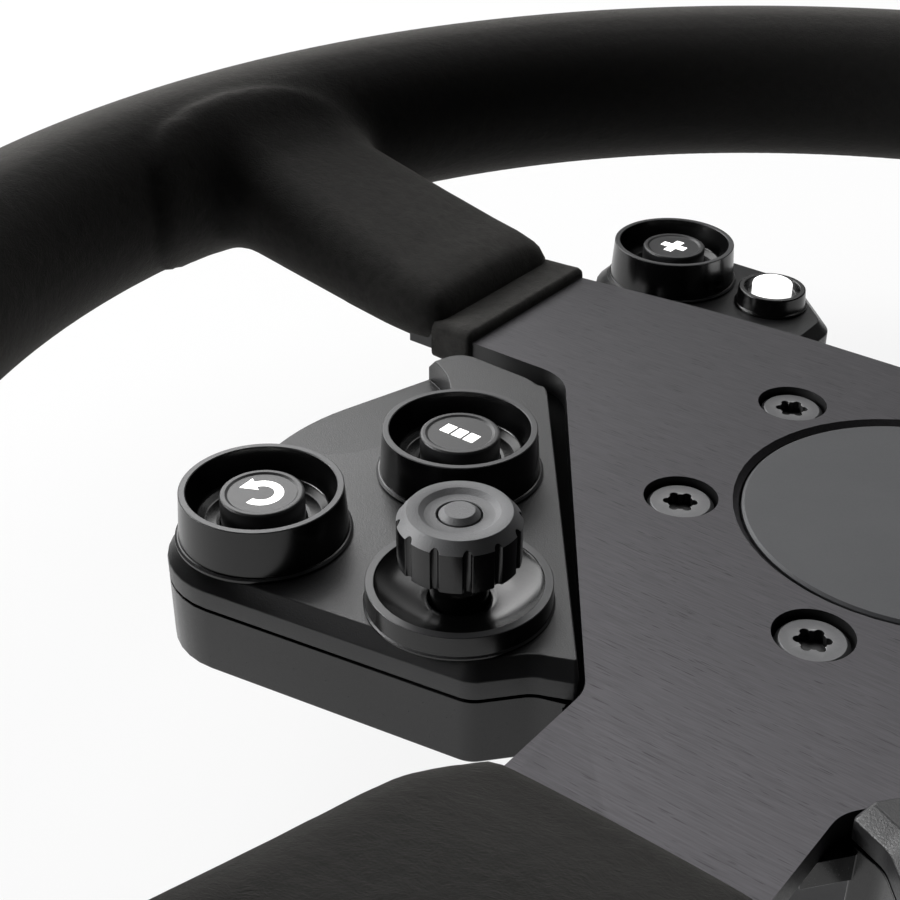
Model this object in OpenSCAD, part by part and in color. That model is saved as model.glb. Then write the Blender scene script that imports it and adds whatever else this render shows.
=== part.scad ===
// Round car steering wheel with three spokes, four control pods and a rear hub.
// Millimetres. The wheel lies on its rear hub face (z = 0) and faces up (+Z).
// +Y is the twelve o'clock side, +X the three o'clock side.

/* [Rim] */
// Radius of the grip's centre line
rim_r = 160; // [156:0.5:164]
// Radius of the round grip section
grip_r = 16.4; // [15:0.1:17.5]
// Height of the grip's centre line above the plate's front face
rim_lift = 12; // [10:0.5:14]
// Radius of the steel ring inside the grip
ring_r = 5; // [4:0.1:6]

/* [Spoke plate] */
// Height of the plate's front face above the rear hub face
plate_front = 40; // [38:0.5:46]
// Thickness of the plate
plate_t = 4; // [3:0.1:4.4]
// Width of each spoke
spoke_w = 34; // [32:0.5:36]
// Height of the side spokes' centre line above the wheel's centre
side_spoke_y = 19; // [18:0.5:20]
// Metal outside the screw seats, in the round part of the plate
plate_web = 3.5; // [2.5:0.1:5]
// Diameter of the circle that the hub screws lie on
bolt_pcd = 70; // [70:1:74]
// Number of hub screws
bolt_count = 6; // [6:1:6]
// Diameter of the seats for the screw heads
screw_seat_d = 11; // [10.6:0.1:11.6]
// Depth of the seats for the screw heads
screw_seat_depth = 3; // [2.6:0.1:3.2]
// Web between the screw seats and the opening for the centre cap
cap_web = 1.9; // [1.2:0.1:2.5]
// Gap all round the centre cap
cap_gap = 1.3; // [0.6:0.1:1.6]

/* [Sheaths] */
// Distance from the centre to the end of the side sheaths
side_sheath_x = 84; // [82:0.5:90]
// Distance from the centre to the end of the lower sheath
low_sheath_y = 79.5; // [79:0.5:86]
// Width of the thin hem at the end of a sheath
hem_w = 7; // [5:0.5:8]
// Height of the hem above the plate
hem_rise = 1.8; // [1.2:0.1:2.4]
// Half the thickness of the padded sheath behind its hem
pad_half_t = 6.4; // [5.6:0.1:7]
// Padding of a side sheath on each side of its spoke
pad_side = 5.2; // [4:0.1:6]
// Padding of the lower sheath on each side of its spoke
pad_low = 7.4; // [6.5:0.1:8]

/* [Lower pods] */
// Height of the lower pods' top above the plate's front face
low_top = 2; // [1.5:0.1:2.5]
// Height of the upright edge and bevel of a pod cover together
cover_t = 5.3; // [5:0.1:5.8]
// Width and height of the bevel round a pod cover
bevel = 2; // [1.4:0.1:2.4]
// Height of a pod body under its cover
body_h = 11; // [10:0.5:13]
// Wall of a pod body
body_wall = 2.4; // [2:0.1:3]
// Depth of the thumb rest cut into the outer side of a lower cover
scoop_depth = 4.4; // [3.6:0.1:4.5]
// Radius of the thumb rest
scoop_r = 19.8; // [19:0.1:20]
// Reach of a lower pod's fixing flange under the plate, from the pod's wall
flange_w = 10.4; // [9.6:0.1:11]

/* [Upper pods] */
// Depth of the upper pods' top below the plate's front face
up_drop = 4.5; // [4.4:0.1:5.5]

/* [Buttons] */
// Diameter of a collar's base
collar_base_d = 24.8; // [24:0.1:25.2]
// Outer diameter of a collar's rim
collar_rim_d = 22.8; // [22:0.1:23.4]
// Height of a collar
collar_h = 7.5; // [7:0.1:8.5]
// Diameter of a button cap
button_d = 11.8; // [11.2:0.1:12]
// Travel of a button
button_travel = 1.5; // [1:0.1:1.6]
// Gap between a button cap and its guide
button_gap = 0.15; // [0.12:0.01:0.25]
// Outer diameter of the small upper collars
small_collar_d = 13.6; // [13:0.1:14.5]
// Diameter of the small upper buttons
small_button_d = 7.4; // [7:0.1:7.8]

/* [Joysticks] */
// Diameter of a joystick dish at its base
dish_d = 25.2; // [24.8:0.1:25.4]
// Height of a joystick dish
dish_h = 3.4; // [3:0.1:3.8]
// Radius of the ball under a joystick knob
ball_r = 3.85; // [3.6:0.05:4]
// Width of a joystick knob across its flats
knob_w = 16.2; // [15.6:0.1:16.8]
// Number of flutes round a joystick knob
knob_flutes = 12; // [10:1:12]
// Radius of the flutes in a joystick knob
flute_r = 0.8; // [0.6:0.05:0.9]
// Height of a joystick knob
knob_h = 6.9; // [6.5:0.1:7.4]
// Bevel round the top of a joystick knob
knob_bevel = 1.4; // [1:0.1:1.6]

/* [Hub and paddles] */
// Depth of the housing behind the plate
housing_h = 22; // [20:0.5:24]
// Radius of the round housing
housing_r = 46; // [45:0.5:48]
// Radius of the rear hub
hub_r = 44; // [42:0.5:46]
// Diameter of the circle of the six holes in the hub's rear face
rear_pcd = 50.8; // [50:0.1:52]
// Diameter of the six holes in the hub's rear face
rear_hole_d = 5; // [4.2:0.1:6]
// Depth of the six holes in the hub's rear face
rear_hole_depth = 10; // [8:0.5:12]
// Thickness of a shift paddle
paddle_t = 3; // [2.5:0.1:3.5]
// Diameter of a paddle's hinge pin
pin_d = 4; // [3.5:0.1:4.5]

/* [Fits] */
// Clearance round screws
screw_clear = 0.25; // [0.15:0.05:0.4]
// Clearance of the foam grip round its metal core
core_clear = 0.1; // [0.05:0.01:0.2]
// Clearance of the pods round the housing behind the plate
housing_gap = 0.8; // [0.5:0.1:1]
// Free play under a button's foot when it is fully pressed
press_gap = 0.1; // [0.05:0.05:0.2]
// Radial running clearance on hinge pins
pin_clear = 0.05; // [0.03:0.01:0.09]

/* [Hidden] */
$fn = 64;
pf = plate_front;
rim_z = pf + rim_lift;
low_z = pf + low_top;
up_z = pf - up_drop;
plate_back = pf - plate_t;
housing_z = plate_back - housing_h;
half_w = spoke_w / 2;
bolt_r = bolt_pcd / 2;
cap_hole_d = bolt_pcd - screw_seat_d - 2 * cap_web;
plate_hub_r = (bolt_pcd + screw_seat_d) / 2 + plate_web;
screw_d = 5;
head_d = screw_seat_d - 1;
knob_z = low_z + 7.25;
pivot_z = low_z + 1.6;
dish_hole_r = ball_r + 0.4;
spindle_r = 1.15;
stem_r = 2;
board_t = 1.6;
parting = 0.4;
plug_t = 1.2;
tilt_play = 0.95;
cradle_h = 2.2;
pin_x = 60;
pin_z = housing_z - 4.6;
paddle_y0 = 4;
paddle_y1 = 34;
ear_in = 6;
ear_t = 5;
ear_play = 0.4;
barrel_r = 3.6;
pin_in = 0.2;
bore_over = 1;
lug_r = 4;
lug_in = 5.6;
lug_spread = 16;
switch_h = 1.5;
board_z = 2;
foot_drop = cover_t + body_h - board_z - board_t - switch_h - button_travel - press_gap;
pod_screw_d = 2.9;
pod_screw_in = 2.2;
pod_head_d = 5.4;
pod_head_h = 2.2;
hub_bore_r = 15;

// Plan of a lower pod on the left, anticlockwise: x, y and corner radius
low_plan = [[-18.9, -62.6, 0.6], [-65.6, -3.4, 8], [-82.6, -2.8, 6],
            [-91.6, -35.4, 36], [-79.2, -79.3, 12], [-29, -70.3, 4.5], [-23.6, -64.1, 5]];
// Bevel of each edge of that plan, as a share of the full bevel
low_bevels = [0.12, 1, 1, 1, 1, 1, 1];
// The same plan without its nose, for what lies inside the pod
low_core = [[-20.5, -60.6, 1.5], low_plan[1], low_plan[2], low_plan[3], low_plan[4], low_plan[5]];
low_collars = [[-69.9, -64], [-58.3, -34.5]];
joy_at = [-38.9, -59.6];
scoop_at = [-90, -28.5];

// Plan of an upper pod on the left
up_plan = [[-90.4, 41.2, 12.6], [-42, 43.4, 2.5], [-42, 56.6, 6],
           [-55.4, 70, 9], [-89.6, 71, 14]];
up_bevels = [1, 1, 1, 1, 1];
up_collar = [-75.6, 55.3];
up_small = [-54.6, 56.4];

// Plan of the left shift paddle
paddle_plan = [[-57, paddle_y0 + ear_in, 4], [-92, -4, 12], [-112, 5, 10], [-108, 41, 12], [-57, paddle_y1 - ear_in, 4]];

// The lower pod's wall that faces the plate: its start, direction and normal
wall_at = [low_plan[0][0], low_plan[0][1]];
wall_to = [low_plan[1][0], low_plan[1][1]];
wall_dir = (wall_to - wall_at) / norm(wall_to - wall_at);
wall_out = [wall_dir[1], -wall_dir[0]];

// Fixing points under the plate, clear of the housing
lug_line = -(wall_at * wall_out) - lug_in;
lug_step = sqrt(max(pow(housing_r + lug_r + 4.2, 2) - pow(lug_line, 2), pow(lug_spread, 2)));
low_lugs = [for (m = [-1, 1]) wall_at + lug_in * wall_out + (m * lug_step - wall_at * wall_dir) * wall_dir];
up_lugs = [[-50, 33.5, 11.2], [-74, 31, 13]];

// Points of one rounded corner at b, between its neighbours a and c
function corner(a, b, c, r, n) =
  let (u = (a - b) / norm(a - b), v = (c - b) / norm(c - b))
  let (half = acos(u * v) / 2, m = b + (u + v) / norm(u + v) * r / sin(half))
  let (s = b + u * r / tan(half) - m, e = b + v * r / tan(half) - m)
  let (a0 = atan2(s[1], s[0]), d = atan2(e[1], e[0]) - a0)
  let (w = d > 180 ? d - 360 : d < -180 ? d + 360 : d)
  [for (i = [0:n]) m + r * [cos(a0 + w * i / n), sin(a0 + w * i / n)]];

// The anticlockwise plan moved inwards by b, or by b times each edge's share
function inset(v, b, shares = []) =
  [for (i = [0:len(v) - 1])
    let (n = len(v), q = xy(v, i), d = q - xy(v, i - 1), e = xy(v, i + 1) - q)
    let (m = [-d[1], d[0]] / norm(d), k = [-e[1], e[0]] / norm(e), c = m * k)
    let (bm = b * (len(shares) > 0 ? shares[(i + n - 1) % n] : 1), bk = b * (len(shares) > 0 ? shares[i] : 1))
    let (p = q + ((bm - bk * c) * m + (bk - bm * c) * k) / (1 - c * c))
    let (round = d[0] * e[1] - d[1] * e[0] > 0 ? v[i][2] - min(bm, bk) : v[i][2] + min(bm, bk))
    [p[0], p[1], max(round, 0.4)]];
function xy(v, i) = let (k = (i + len(v)) % len(v)) [v[k][0], v[k][1]];
function outline(v, n = 8) =
  [for (i = [0:len(v) - 1]) each corner(xy(v, i - 1), xy(v, i), xy(v, i + 1), v[i][2], n)];

// A solid between two plans with the same corners, at two heights
module loft(low, high, z0, z1) {
  a = outline(low);
  b = outline(high);
  n = len(a);
  c = [for (k = [0, 1]) [for (p = low) p[k]] * [for (p = low) 1 / len(low)]];
  polyhedron(
    [for (p = a) [p[0], p[1], z0], for (p = b) [p[0], p[1], z1], [c[0], c[1], z0], [c[0], c[1], z1]],
    [for (i = [0:n - 1]) let (j = (i + 1) % n)
      each [[i, n + i, n + j], [i, n + j, j], [2 * n, i, j], [2 * n + 1, n + j, n + i]]]);
}

module slab(plan, z0, z1) {
  translate([0, 0, z0]) linear_extrude(z1 - z0) polygon(outline(plan));
}

// One side, or its mirror image on the right
module side(right) {
  mirror([right ? 1 : 0, 0, 0]) children();
}

module at_bolts(r = bolt_r) {
  for (i = [0:bolt_count - 1]) rotate(30 + i * 360 / bolt_count) translate([r, 0, 0]) children();
}

// ---- metal frame

module left_half_plan() {
  edge_y = side_spoke_y - half_w;
  polygon(concat([[0, -low_sheath_y - 20], [-half_w, -low_sheath_y - 20]],
    corner([-half_w, -low_sheath_y], [-half_w, -62.3], [-64.4, edge_y], 6, 6),
    corner([-half_w, -62.3], [-64.4, edge_y], [-side_sheath_x, edge_y], 9, 6),
    [[-side_sheath_x - 14, edge_y], [-side_sheath_x - 14, side_spoke_y + half_w - 0.4],
     [-side_sheath_x, side_spoke_y + half_w - 0.2], [-60, side_spoke_y + half_w + 2.6],
     [-40, side_spoke_y + half_w + 3.8], [0, side_spoke_y + half_w + 4]]));
}

// Side view of one arm, from the plate up to the ring inside the grip
module arm(start, grow) {
  g = grow;
  z0 = -plate_t - g;
  z1 = rim_lift - 2 - g;
  rotate([90, 0, 0]) linear_extrude(spoke_w - 8 + 2 * g, center = true)
    polygon([[start - g, z0], [start + 16, z0], [rim_r - 14, z1], [rim_r + 1 + g, z1],
             [rim_r + 1 + g, rim_lift + 2 + g], [rim_r - 15, rim_lift + 2 + g],
             [start + 15, g], [start - g, g]]);
}

module arms(grow) {
  for (m = [0, 1]) mirror([m, 0, 0]) translate([0, side_spoke_y, pf]) arm(side_sheath_x + 2, grow);
  translate([0, 0, pf]) rotate(-90) arm(low_sheath_y + 2, grow);
}

module core_ring(grow) {
  translate([0, 0, rim_z]) rotate_extrude($fn = 128) translate([rim_r, 0]) circle(ring_r + grow, $fn = 32);
}

module plate_blank() {
  linear_extrude(plate_t) union() {
    left_half_plan();
    mirror([1, 0]) left_half_plan();
    circle(plate_hub_r);
  }
}

module spoke_plate() {
  color([0.13, 0.13, 0.14]) union() {
    difference() {
      translate([0, 0, plate_back]) plate_blank();
      translate([0, 0, plate_back - 1]) cylinder(d = cap_hole_d, h = plate_t + 2);
      translate([0, 0, pf - 0.8]) cylinder(d1 = cap_hole_d, d2 = cap_hole_d + 1.8, h = 0.9);
      at_bolts() translate([0, 0, plate_back - 1]) cylinder(d = screw_d + 2 * screw_clear, h = plate_t + 2);
      at_bolts() translate([0, 0, pf - screw_seat_depth]) cylinder(d = screw_seat_d, h = plate_t);
      for (m = [0, 1]) mirror([m, 0, 0]) for (p = concat(low_lugs, up_lugs))
        translate([p[0], p[1], plate_back - 1]) cylinder(d = pod_screw_d + 0.2, h = 3.6);
    }
    arms(0);
    core_ring(0);
  }
}

// ---- grip

module hem(start, over) {
  translate([start, -half_w - over, pf - plate_t - hem_rise])
    cube([hem_w + 3, spoke_w + 2 * over, plate_t + 2 * hem_rise]);
}

// A soft cross-section of the sheath: a wide flat ellipse standing across the spoke
module section(x, z, hw, hz) {
  translate([x, 0, z]) scale([1, hw / 10, hz / 10]) rotate([0, 90, 0]) cylinder(r = 10, h = 1.2, center = true, $fn = 32);
}

module boxy_section(x, z, hw, hz) {
  for (s = [-1, 1]) translate([x, s * (hw - hz), z]) scale([0.5, 1, 1]) sphere(r = hz, $fn = 24);
}

module sheath(start, pad, flare, over) {
  side = half_w + pad;
  rise = (rim_lift - 0.4) / (rim_r - start - hem_w - 4);
  hem(start, over);
  hull() {
    boxy_section(start + hem_w + 4, pf + 0.4, side, pad_half_t);
    boxy_section(start + 36, pf + 0.4 + 25 * rise, side + flare, pad_half_t + 1.4);
  }
  hull() {
    boxy_section(start + 36, pf + 0.4 + 25 * rise, side + flare, pad_half_t + 1.4);
    section(rim_r - 9, rim_z - 0.8, side + flare + 2.4, grip_r - 3.4);
  }
}

module rim_grip() {
  color([0.07, 0.07, 0.07]) difference() {
    union() {
      translate([0, 0, rim_z]) rotate_extrude($fn = 96) translate([rim_r, 0]) circle(grip_r, $fn = 48);
      for (m = [0, 1]) mirror([m, 0, 0]) translate([0, side_spoke_y, 0]) sheath(side_sheath_x, pad_side, 0.6, 0.9);
      rotate(-90) sheath(low_sheath_y, pad_low, 3, 2.2);
    }
    arms(core_clear);
    core_ring(core_clear);
    translate([0, 0, plate_back]) plate_blank();
  }
}

// ---- hub fasteners and cap

module six_lobe(d, depth) {
  union() {
    cylinder(d = d * 0.74, h = depth, $fn = 24);
    for (k = [0:5]) rotate(k * 60) translate([d * 0.36, 0, 0]) cylinder(d = d * 0.25, h = depth, $fn = 16);
  }
}

module hub_screw() {
  top = pf - 0.9;
  difference() {
    union() {
      translate([0, 0, top - 2]) cylinder(d = head_d, h = 1.4);
      translate([0, 0, top - 0.6]) cylinder(d1 = head_d, d2 = head_d - 1.2, h = 0.6);
      translate([0, 0, housing_z - 9.5]) cylinder(d = screw_d, h = top - 1 - housing_z + 9.5);
    }
    translate([0, 0, top - 1.6]) six_lobe(5.2, 2);
  }
}

module hub_screws() {
  color([0.36, 0.37, 0.38]) at_bolts() hub_screw();
}

module centre_cap() {
  cap_d = cap_hole_d - 2 * cap_gap;
  color([0.16, 0.16, 0.165]) union() {
    translate([0, 0, plate_back + 0.6]) cylinder(d = cap_d, h = plate_t - 1.6);
    translate([0, 0, pf - 1]) cylinder(d1 = cap_d, d2 = cap_d - 1.2, h = 0.7);
    translate([0, 0, plate_back]) cylinder(d = cap_hole_d - 0.2, h = 0.7);
  }
}

// ---- pods

module cover_blank(plan, shares, top) {
  slab(plan, top - cover_t + parting, top - bevel);
  loft(plan, inset(plan, bevel, shares), top - bevel, top);
}

module low_cover(right) {
  side(right) color([0.12, 0.12, 0.125]) difference() {
    union() {
      cover_blank(low_plan, low_bevels, low_z);
      slab(inset(low_core, body_wall + 0.2), low_z - cover_t - plug_t, low_z - cover_t + parting + 0.5);
    }
    translate([scoop_at[0], scoop_at[1], low_z - scoop_depth]) cylinder(r = scoop_r, h = scoop_depth + 1, $fn = 96);
    for (p = low_collars) translate([p[0], p[1], low_z - 9]) cylinder(r = 2.9, h = 10);
    translate([joy_at[0], joy_at[1], low_z - 9]) cylinder(r = dish_hole_r + 0.6, h = 10);
  }
}

module up_cover(right) {
  side(right) color([0.12, 0.12, 0.125]) difference() {
    union() {
      cover_blank(up_plan, up_bevels, up_z);
      slab(inset(up_plan, body_wall + 0.2), up_z - cover_t - plug_t, up_z - cover_t + parting + 0.5);
    }
    translate([up_collar[0], up_collar[1], up_z - 9]) cylinder(r = 2.9, h = 10);
    translate([up_small[0], up_small[1], up_z - 9]) cylinder(r = 1.9, h = 10);
  }
}

// Underside of a pod's lugs
function lug_base(top) = min(top - cover_t, plate_back) - 4;

// An open tray under the cover. Its children reach under the plate and take the screws
module pod_tray(plan, core, top, lugs) {
  z1 = top - cover_t;
  z0 = z1 - body_h;
  difference() {
    union() {
      slab(plan, z0 + 1.2, z1);
      loft(inset(plan, 1.2), plan, z0, z0 + 1.2);
      children();
    }
    slab(inset(core, body_wall), z0 + board_z, z1 + 1);
    translate([0, 0, housing_z]) cylinder(r = housing_r + housing_gap, h = housing_h, $fn = 96);
    for (p = lugs) translate([p[0], p[1], lug_base(top) - 1]) cylinder(d = pod_screw_d + 2 * screw_clear, h = plate_back);
  }
}

// A flange along the whole wall that faces the plate
module low_flange() {
  from = wall_at - 6 * wall_dir;
  to = wall_to + 7 * wall_dir;
  z = lug_base(low_z);
  translate([0, 0, z]) linear_extrude(plate_back - z)
    polygon([from - wall_out, from + flange_w * wall_out, to + flange_w * wall_out, to - wall_out]);
}

module low_body(right) {
  side(right) color([0.1, 0.1, 0.105]) pod_tray(low_plan, low_core, low_z, low_lugs) low_flange();
}

module up_body(right) {
  z = lug_base(up_z);
  side(right) color([0.1, 0.1, 0.105]) pod_tray(up_plan, up_plan, up_z, up_lugs)
    for (p = up_lugs) {
      translate([p[0], p[1], z]) cylinder(r = lug_r, h = plate_back - z);
      translate([p[0] + 0.5 - lug_r, p[1], z]) cube([2 * lug_r - 1, p[2], 3.6]);
    }
}

module board_at(plan, top, spots) {
  z0 = top - cover_t - body_h + board_z;
  difference() {
    union() {
      slab(inset(plan, body_wall + 0.3), z0, z0 + board_t);
      for (p = spots) translate([p[0] - 3, p[1] - 3, z0 + board_t - 0.1]) cube([6, 6, switch_h + 0.1]);
    }
    translate([0, 0, housing_z]) cylinder(r = housing_r + housing_gap + body_wall, h = housing_h, $fn = 96);
  }
}

module low_board(right) {
  side(right) color([0.08, 0.22, 0.12]) difference() {
    board_at(low_core, low_z, low_collars);
    translate([joy_at[0], joy_at[1], 0]) cylinder(r = 3.4, h = pf);
  }
}

module up_board(right) {
  side(right) color([0.08, 0.22, 0.12]) board_at(up_plan, up_z, [up_collar, up_small]);
}

// ---- collars and buttons

module collar(p, top, right) {
  rb = collar_base_d / 2;
  rr = collar_rim_d / 2;
  rg = button_d / 2 + button_gap;
  side(right) color([0.09, 0.09, 0.095]) translate([p[0], p[1], top]) rotate_extrude($fn = 96)
    polygon([[rg, 0], [rb - 0.2, 0], [rb, 0.2], [rb, 0.45], [rb - 0.15, 0.6], [rb - 0.5, 0.6],
             [rr + 0.1, collar_h - 0.5], [rr - 0.1, collar_h - 0.15], [rr - 0.4, collar_h],
             [rr - 0.8, collar_h], [rr - 1.1, collar_h - 0.25],
             [rr - 2, 3], [rr - 2.6, 2.4], [rg + 0.9, 2.4], [rg, 2.4]]);
}

module button(p, top, right) {
  r = button_d / 2;
  cap_top = collar_h - 0.9;
  side(right) color([0.15, 0.15, 0.155]) translate([p[0], p[1], top]) union() {
    rotate_extrude($fn = 96)
      polygon([[0, 1.9], [r, 1.9], [r, cap_top - 0.5], [r - 0.15, cap_top - 0.15], [r - 0.45, cap_top],
               [r - 0.9, cap_top], [r - 1.2, cap_top - 0.3], [0, cap_top - 0.3]]);
    translate([0, 0, -foot_drop]) cylinder(r = 2.5, h = foot_drop + 2.4);
  }
}

module small_collar(p, top, right) {
  ro = small_collar_d / 2;
  rg = small_button_d / 2 + button_gap;
  side(right) color([0.09, 0.09, 0.095]) translate([p[0], p[1], top]) rotate_extrude($fn = 64)
    polygon([[rg, 0], [ro, 0], [ro, 0.5], [ro - 0.3, 0.7], [ro - 0.6, 3.2], [ro - 1, 3.6],
             [ro - 1.5, 3.6], [ro - 1.8, 3.3], [rg + 0.5, 2.2], [rg, 2.2]]);
}

module small_button(p, top, right) {
  r = small_button_d / 2;
  side(right) color([0.85, 0.85, 0.85]) translate([p[0], p[1], top]) union() {
    rotate_extrude($fn = 64)
      polygon([[0, 1.9], [r, 1.9], [r, 4.2], [r - 0.3, 4.6], [r - 0.8, 4.8], [0, 4.9]]);
    translate([0, 0, -foot_drop]) cylinder(r = 1.5, h = foot_drop + 2.4);
  }
}

// ---- joysticks

module joystick_dish(right) {
  r = dish_d / 2;
  side(right) color([0.09, 0.09, 0.095]) translate([joy_at[0], joy_at[1], low_z]) rotate_extrude($fn = 96)
    polygon(concat([[dish_hole_r, 0], [r - 0.15, 0], [r, 0.15], [r, 0.4], [r - 0.2, 0.6],
             [r - 0.5, dish_h - 0.35], [r - 0.7, dish_h], [r - 1, dish_h]],
             [for (i = [0:8]) let (u = r - 1.25 - (r - 1.25 - dish_hole_r - 0.3) * i / 8)
               [u, 0.7 + (dish_h - 1) * pow((u - dish_hole_r) / (r - 1.25 - dish_hole_r), 2)]],
             [[dish_hole_r, 0.6]]));
}

module joystick_cradle(right) {
  z = low_z - cover_t - plug_t - tilt_play - cradle_h;
  side(right) color([0.3, 0.3, 0.31]) translate([joy_at[0], joy_at[1], z]) difference() {
    cylinder(r = 5.4, h = cradle_h);
    translate([0, 0, -1]) cylinder(r = 3.9, h = 5);
  }
}

module joystick_stem(right) {
  side(right) color([0.05, 0.05, 0.05]) translate([joy_at[0], joy_at[1], 0]) difference() {
    union() {
      translate([0, 0, pivot_z]) sphere(ball_r);
      translate([0, 0, pivot_z]) cylinder(r = 2.4, h = knob_z + 2.2 - pivot_z);
      translate([0, 0, low_z - 9.8]) cylinder(r = stem_r, h = pivot_z - low_z + 9.8);
    }
    translate([0, 0, low_z - 11]) cylinder(r = spindle_r + 0.1, h = 40);
  }
}

module joystick_spindle(right) {
  head_z = knob_z + knob_h - 0.9;
  side(right) color([0.2, 0.2, 0.205]) translate([joy_at[0], joy_at[1], 0]) union() {
    translate([0, 0, low_z - 9.6]) cylinder(r = spindle_r, h = head_z - low_z + 9.6);
    translate([0, 0, head_z - 1]) cylinder(r = 2.9, h = 1);
    translate([0, 0, head_z]) cylinder(r1 = 2.9, r2 = 2.2, h = 0.7);
  }
}

// Twelve flat lands with a narrow flute at every corner and a bevelled top
module joystick_knob(right) {
  ra = knob_w / 2;
  rc = ra / cos(180 / knob_flutes);
  side(right) color([0.15, 0.15, 0.155]) translate([joy_at[0], joy_at[1], knob_z]) difference() {
    intersection() {
      rotate(180 / knob_flutes) cylinder(r = rc, h = knob_h, $fn = knob_flutes);
      rotate_extrude($fn = 96)
        polygon([[0, 0], [ra - 0.35, 0], [ra + 0.25, 0.55], [ra + 0.25, knob_h - knob_bevel],
                 [ra - knob_bevel, knob_h], [0, knob_h]]);
    }
    for (i = [0:knob_flutes - 1]) rotate(i * 360 / knob_flutes + 180 / knob_flutes)
      translate([ra + 0.15, 0, -1]) cylinder(r = flute_r, h = knob_h + 2, $fn = 24);
    translate([0, 0, knob_h - 0.5]) cylinder(d = 10.1, h = 1);
    translate([0, 0, knob_h - 1.95]) cylinder(r = 3.02, h = 2);
    translate([0, 0, -1]) cylinder(r = spindle_r + 0.1, h = knob_h);
    translate([0, 0, -1]) cylinder(r = 2.9, h = 4.2);
  }
}

// ---- rear hub, housing and paddles

module rear_housing() {
  color([0.1, 0.1, 0.1]) difference() {
    union() {
      translate([0, 0, housing_z]) cylinder(r = housing_r, h = housing_h, $fn = 96);
      for (m = [0, 1]) mirror([m, 0, 0]) {
        translate([-66, paddle_y0 + ear_in, housing_z]) cube([36, paddle_y1 - paddle_y0 - 2 * ear_in, housing_h]);
        for (y = [paddle_y0 + ear_in, paddle_y1 - ear_in - ear_t])
          translate([-pin_x - 4.5, y, pin_z]) rotate([-90, 0, 0]) linear_extrude(ear_t)
            union() {
              translate([4.5, 0]) circle(4.4);
              translate([0.1, -6]) square([8.8, 6]);
            }
      }
    }
    at_bolts() translate([0, 0, housing_z - 1]) cylinder(d = screw_d + 2 * screw_clear, h = housing_h + 2);
    translate([0, 0, housing_z - 1]) cylinder(r = hub_bore_r, h = housing_h + 2);
    for (m = [0, 1]) mirror([m, 0, 0])
      along_pin(ear_in - bore_over) cylinder(d = pin_d, h = paddle_y1 - paddle_y0 - 2 * (ear_in - bore_over));
  }
}

// The rear hub takes the long screws from the front and has six holes of its own behind
module rear_hub() {
  color([0.17, 0.17, 0.18]) difference() {
    rotate_extrude($fn = 96)
      polygon([[hub_bore_r, 0], [hub_r - 1, 0], [hub_r, 1], [hub_r, housing_z], [hub_bore_r, housing_z]]);
    at_bolts() translate([0, 0, housing_z - 10]) cylinder(d = screw_d + 0.2, h = 11);
    at_bolts(rear_pcd / 2) translate([0, 0, -1]) cylinder(d = rear_hole_d, h = rear_hole_depth + 1);
  }
}

module pod_screw(p, top) {
  z = lug_base(top);
  translate([p[0], p[1], 0]) difference() {
    union() {
      translate([0, 0, z - pod_head_h]) cylinder(d = pod_head_d, h = pod_head_h);
      translate([0, 0, z - 1]) cylinder(d = pod_screw_d, h = plate_back + pod_screw_in - z + 1);
    }
    translate([0, 0, z - pod_head_h - 0.8]) cylinder(d = 2.5, h = 2, $fn = 6);
  }
}

module pod_screws() {
  color([0.3, 0.3, 0.31]) for (m = [0, 1]) mirror([m, 0, 0]) {
    for (p = low_lugs) pod_screw(p, low_z);
    for (p = up_lugs) pod_screw(p, up_z);
  }
}

// Places its children on the left hinge pin's axis, from one end of the paddle
module along_pin(y) {
  translate([-pin_x, paddle_y0 + y, pin_z]) rotate([-90, 0, 0]) children();
}

module paddle(right) {
  slot = ear_in - ear_play;
  slot_w = ear_t + 2 * ear_play;
  barrel = slot + slot_w;
  side(right) color([0.11, 0.11, 0.11]) difference() {
    union() {
      difference() {
        slab(paddle_plan, pin_z - paddle_t / 2, pin_z + paddle_t / 2);
        for (y = [paddle_y0 + slot, paddle_y1 - slot - slot_w])
          translate([-pin_x - 10, y, pin_z - 8]) cube([16, slot_w, 16]);
        translate([-pin_x - 10, paddle_y0 - 4, pin_z - 8]) cube([16, 4 + ear_in, 16]);
        translate([-pin_x - 10, paddle_y1 - ear_in, pin_z - 8]) cube([16, 4 + ear_in, 16]);
      }
      along_pin(barrel) cylinder(r = barrel_r, h = paddle_y1 - paddle_y0 - 2 * barrel);
    }
    along_pin(ear_in - bore_over) cylinder(d = pin_d + 2 * pin_clear, h = paddle_y1 - paddle_y0 - 2 * (ear_in - bore_over));
  }
}

module paddle_pins() {
  color([0.5, 0.5, 0.51]) for (m = [0, 1]) mirror([m, 0, 0])
    along_pin(ear_in + pin_in) cylinder(d = pin_d, h = paddle_y1 - paddle_y0 - 2 * (ear_in + pin_in));
}

spoke_plate();
rim_grip();
hub_screws();
centre_cap();
low_cover(false);  // pod_cover_lower_left
low_cover(true);  // pod_cover_lower_right
up_cover(false);  // pod_cover_upper_left
up_cover(true);  // pod_cover_upper_right
low_body(false);  // pod_body_lower_left
low_body(true);  // pod_body_lower_right
up_body(false);  // pod_body_upper_left
up_body(true);  // pod_body_upper_right
low_board(false);  // switch_board_lower_left
low_board(true);  // switch_board_lower_right
up_board(false);  // switch_board_upper_left
up_board(true);  // switch_board_upper_right
collar(low_collars[0], low_z, false);  // collar_lower_left_outer
collar(low_collars[1], low_z, false);  // collar_lower_left_inner
collar(low_collars[0], low_z, true);  // collar_lower_right_outer
collar(low_collars[1], low_z, true);  // collar_lower_right_inner
collar(up_collar, up_z, false);  // collar_upper_left
collar(up_collar, up_z, true);  // collar_upper_right
small_collar(up_small, up_z, false);  // small_collar_upper_left
small_collar(up_small, up_z, true);  // small_collar_upper_right
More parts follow.
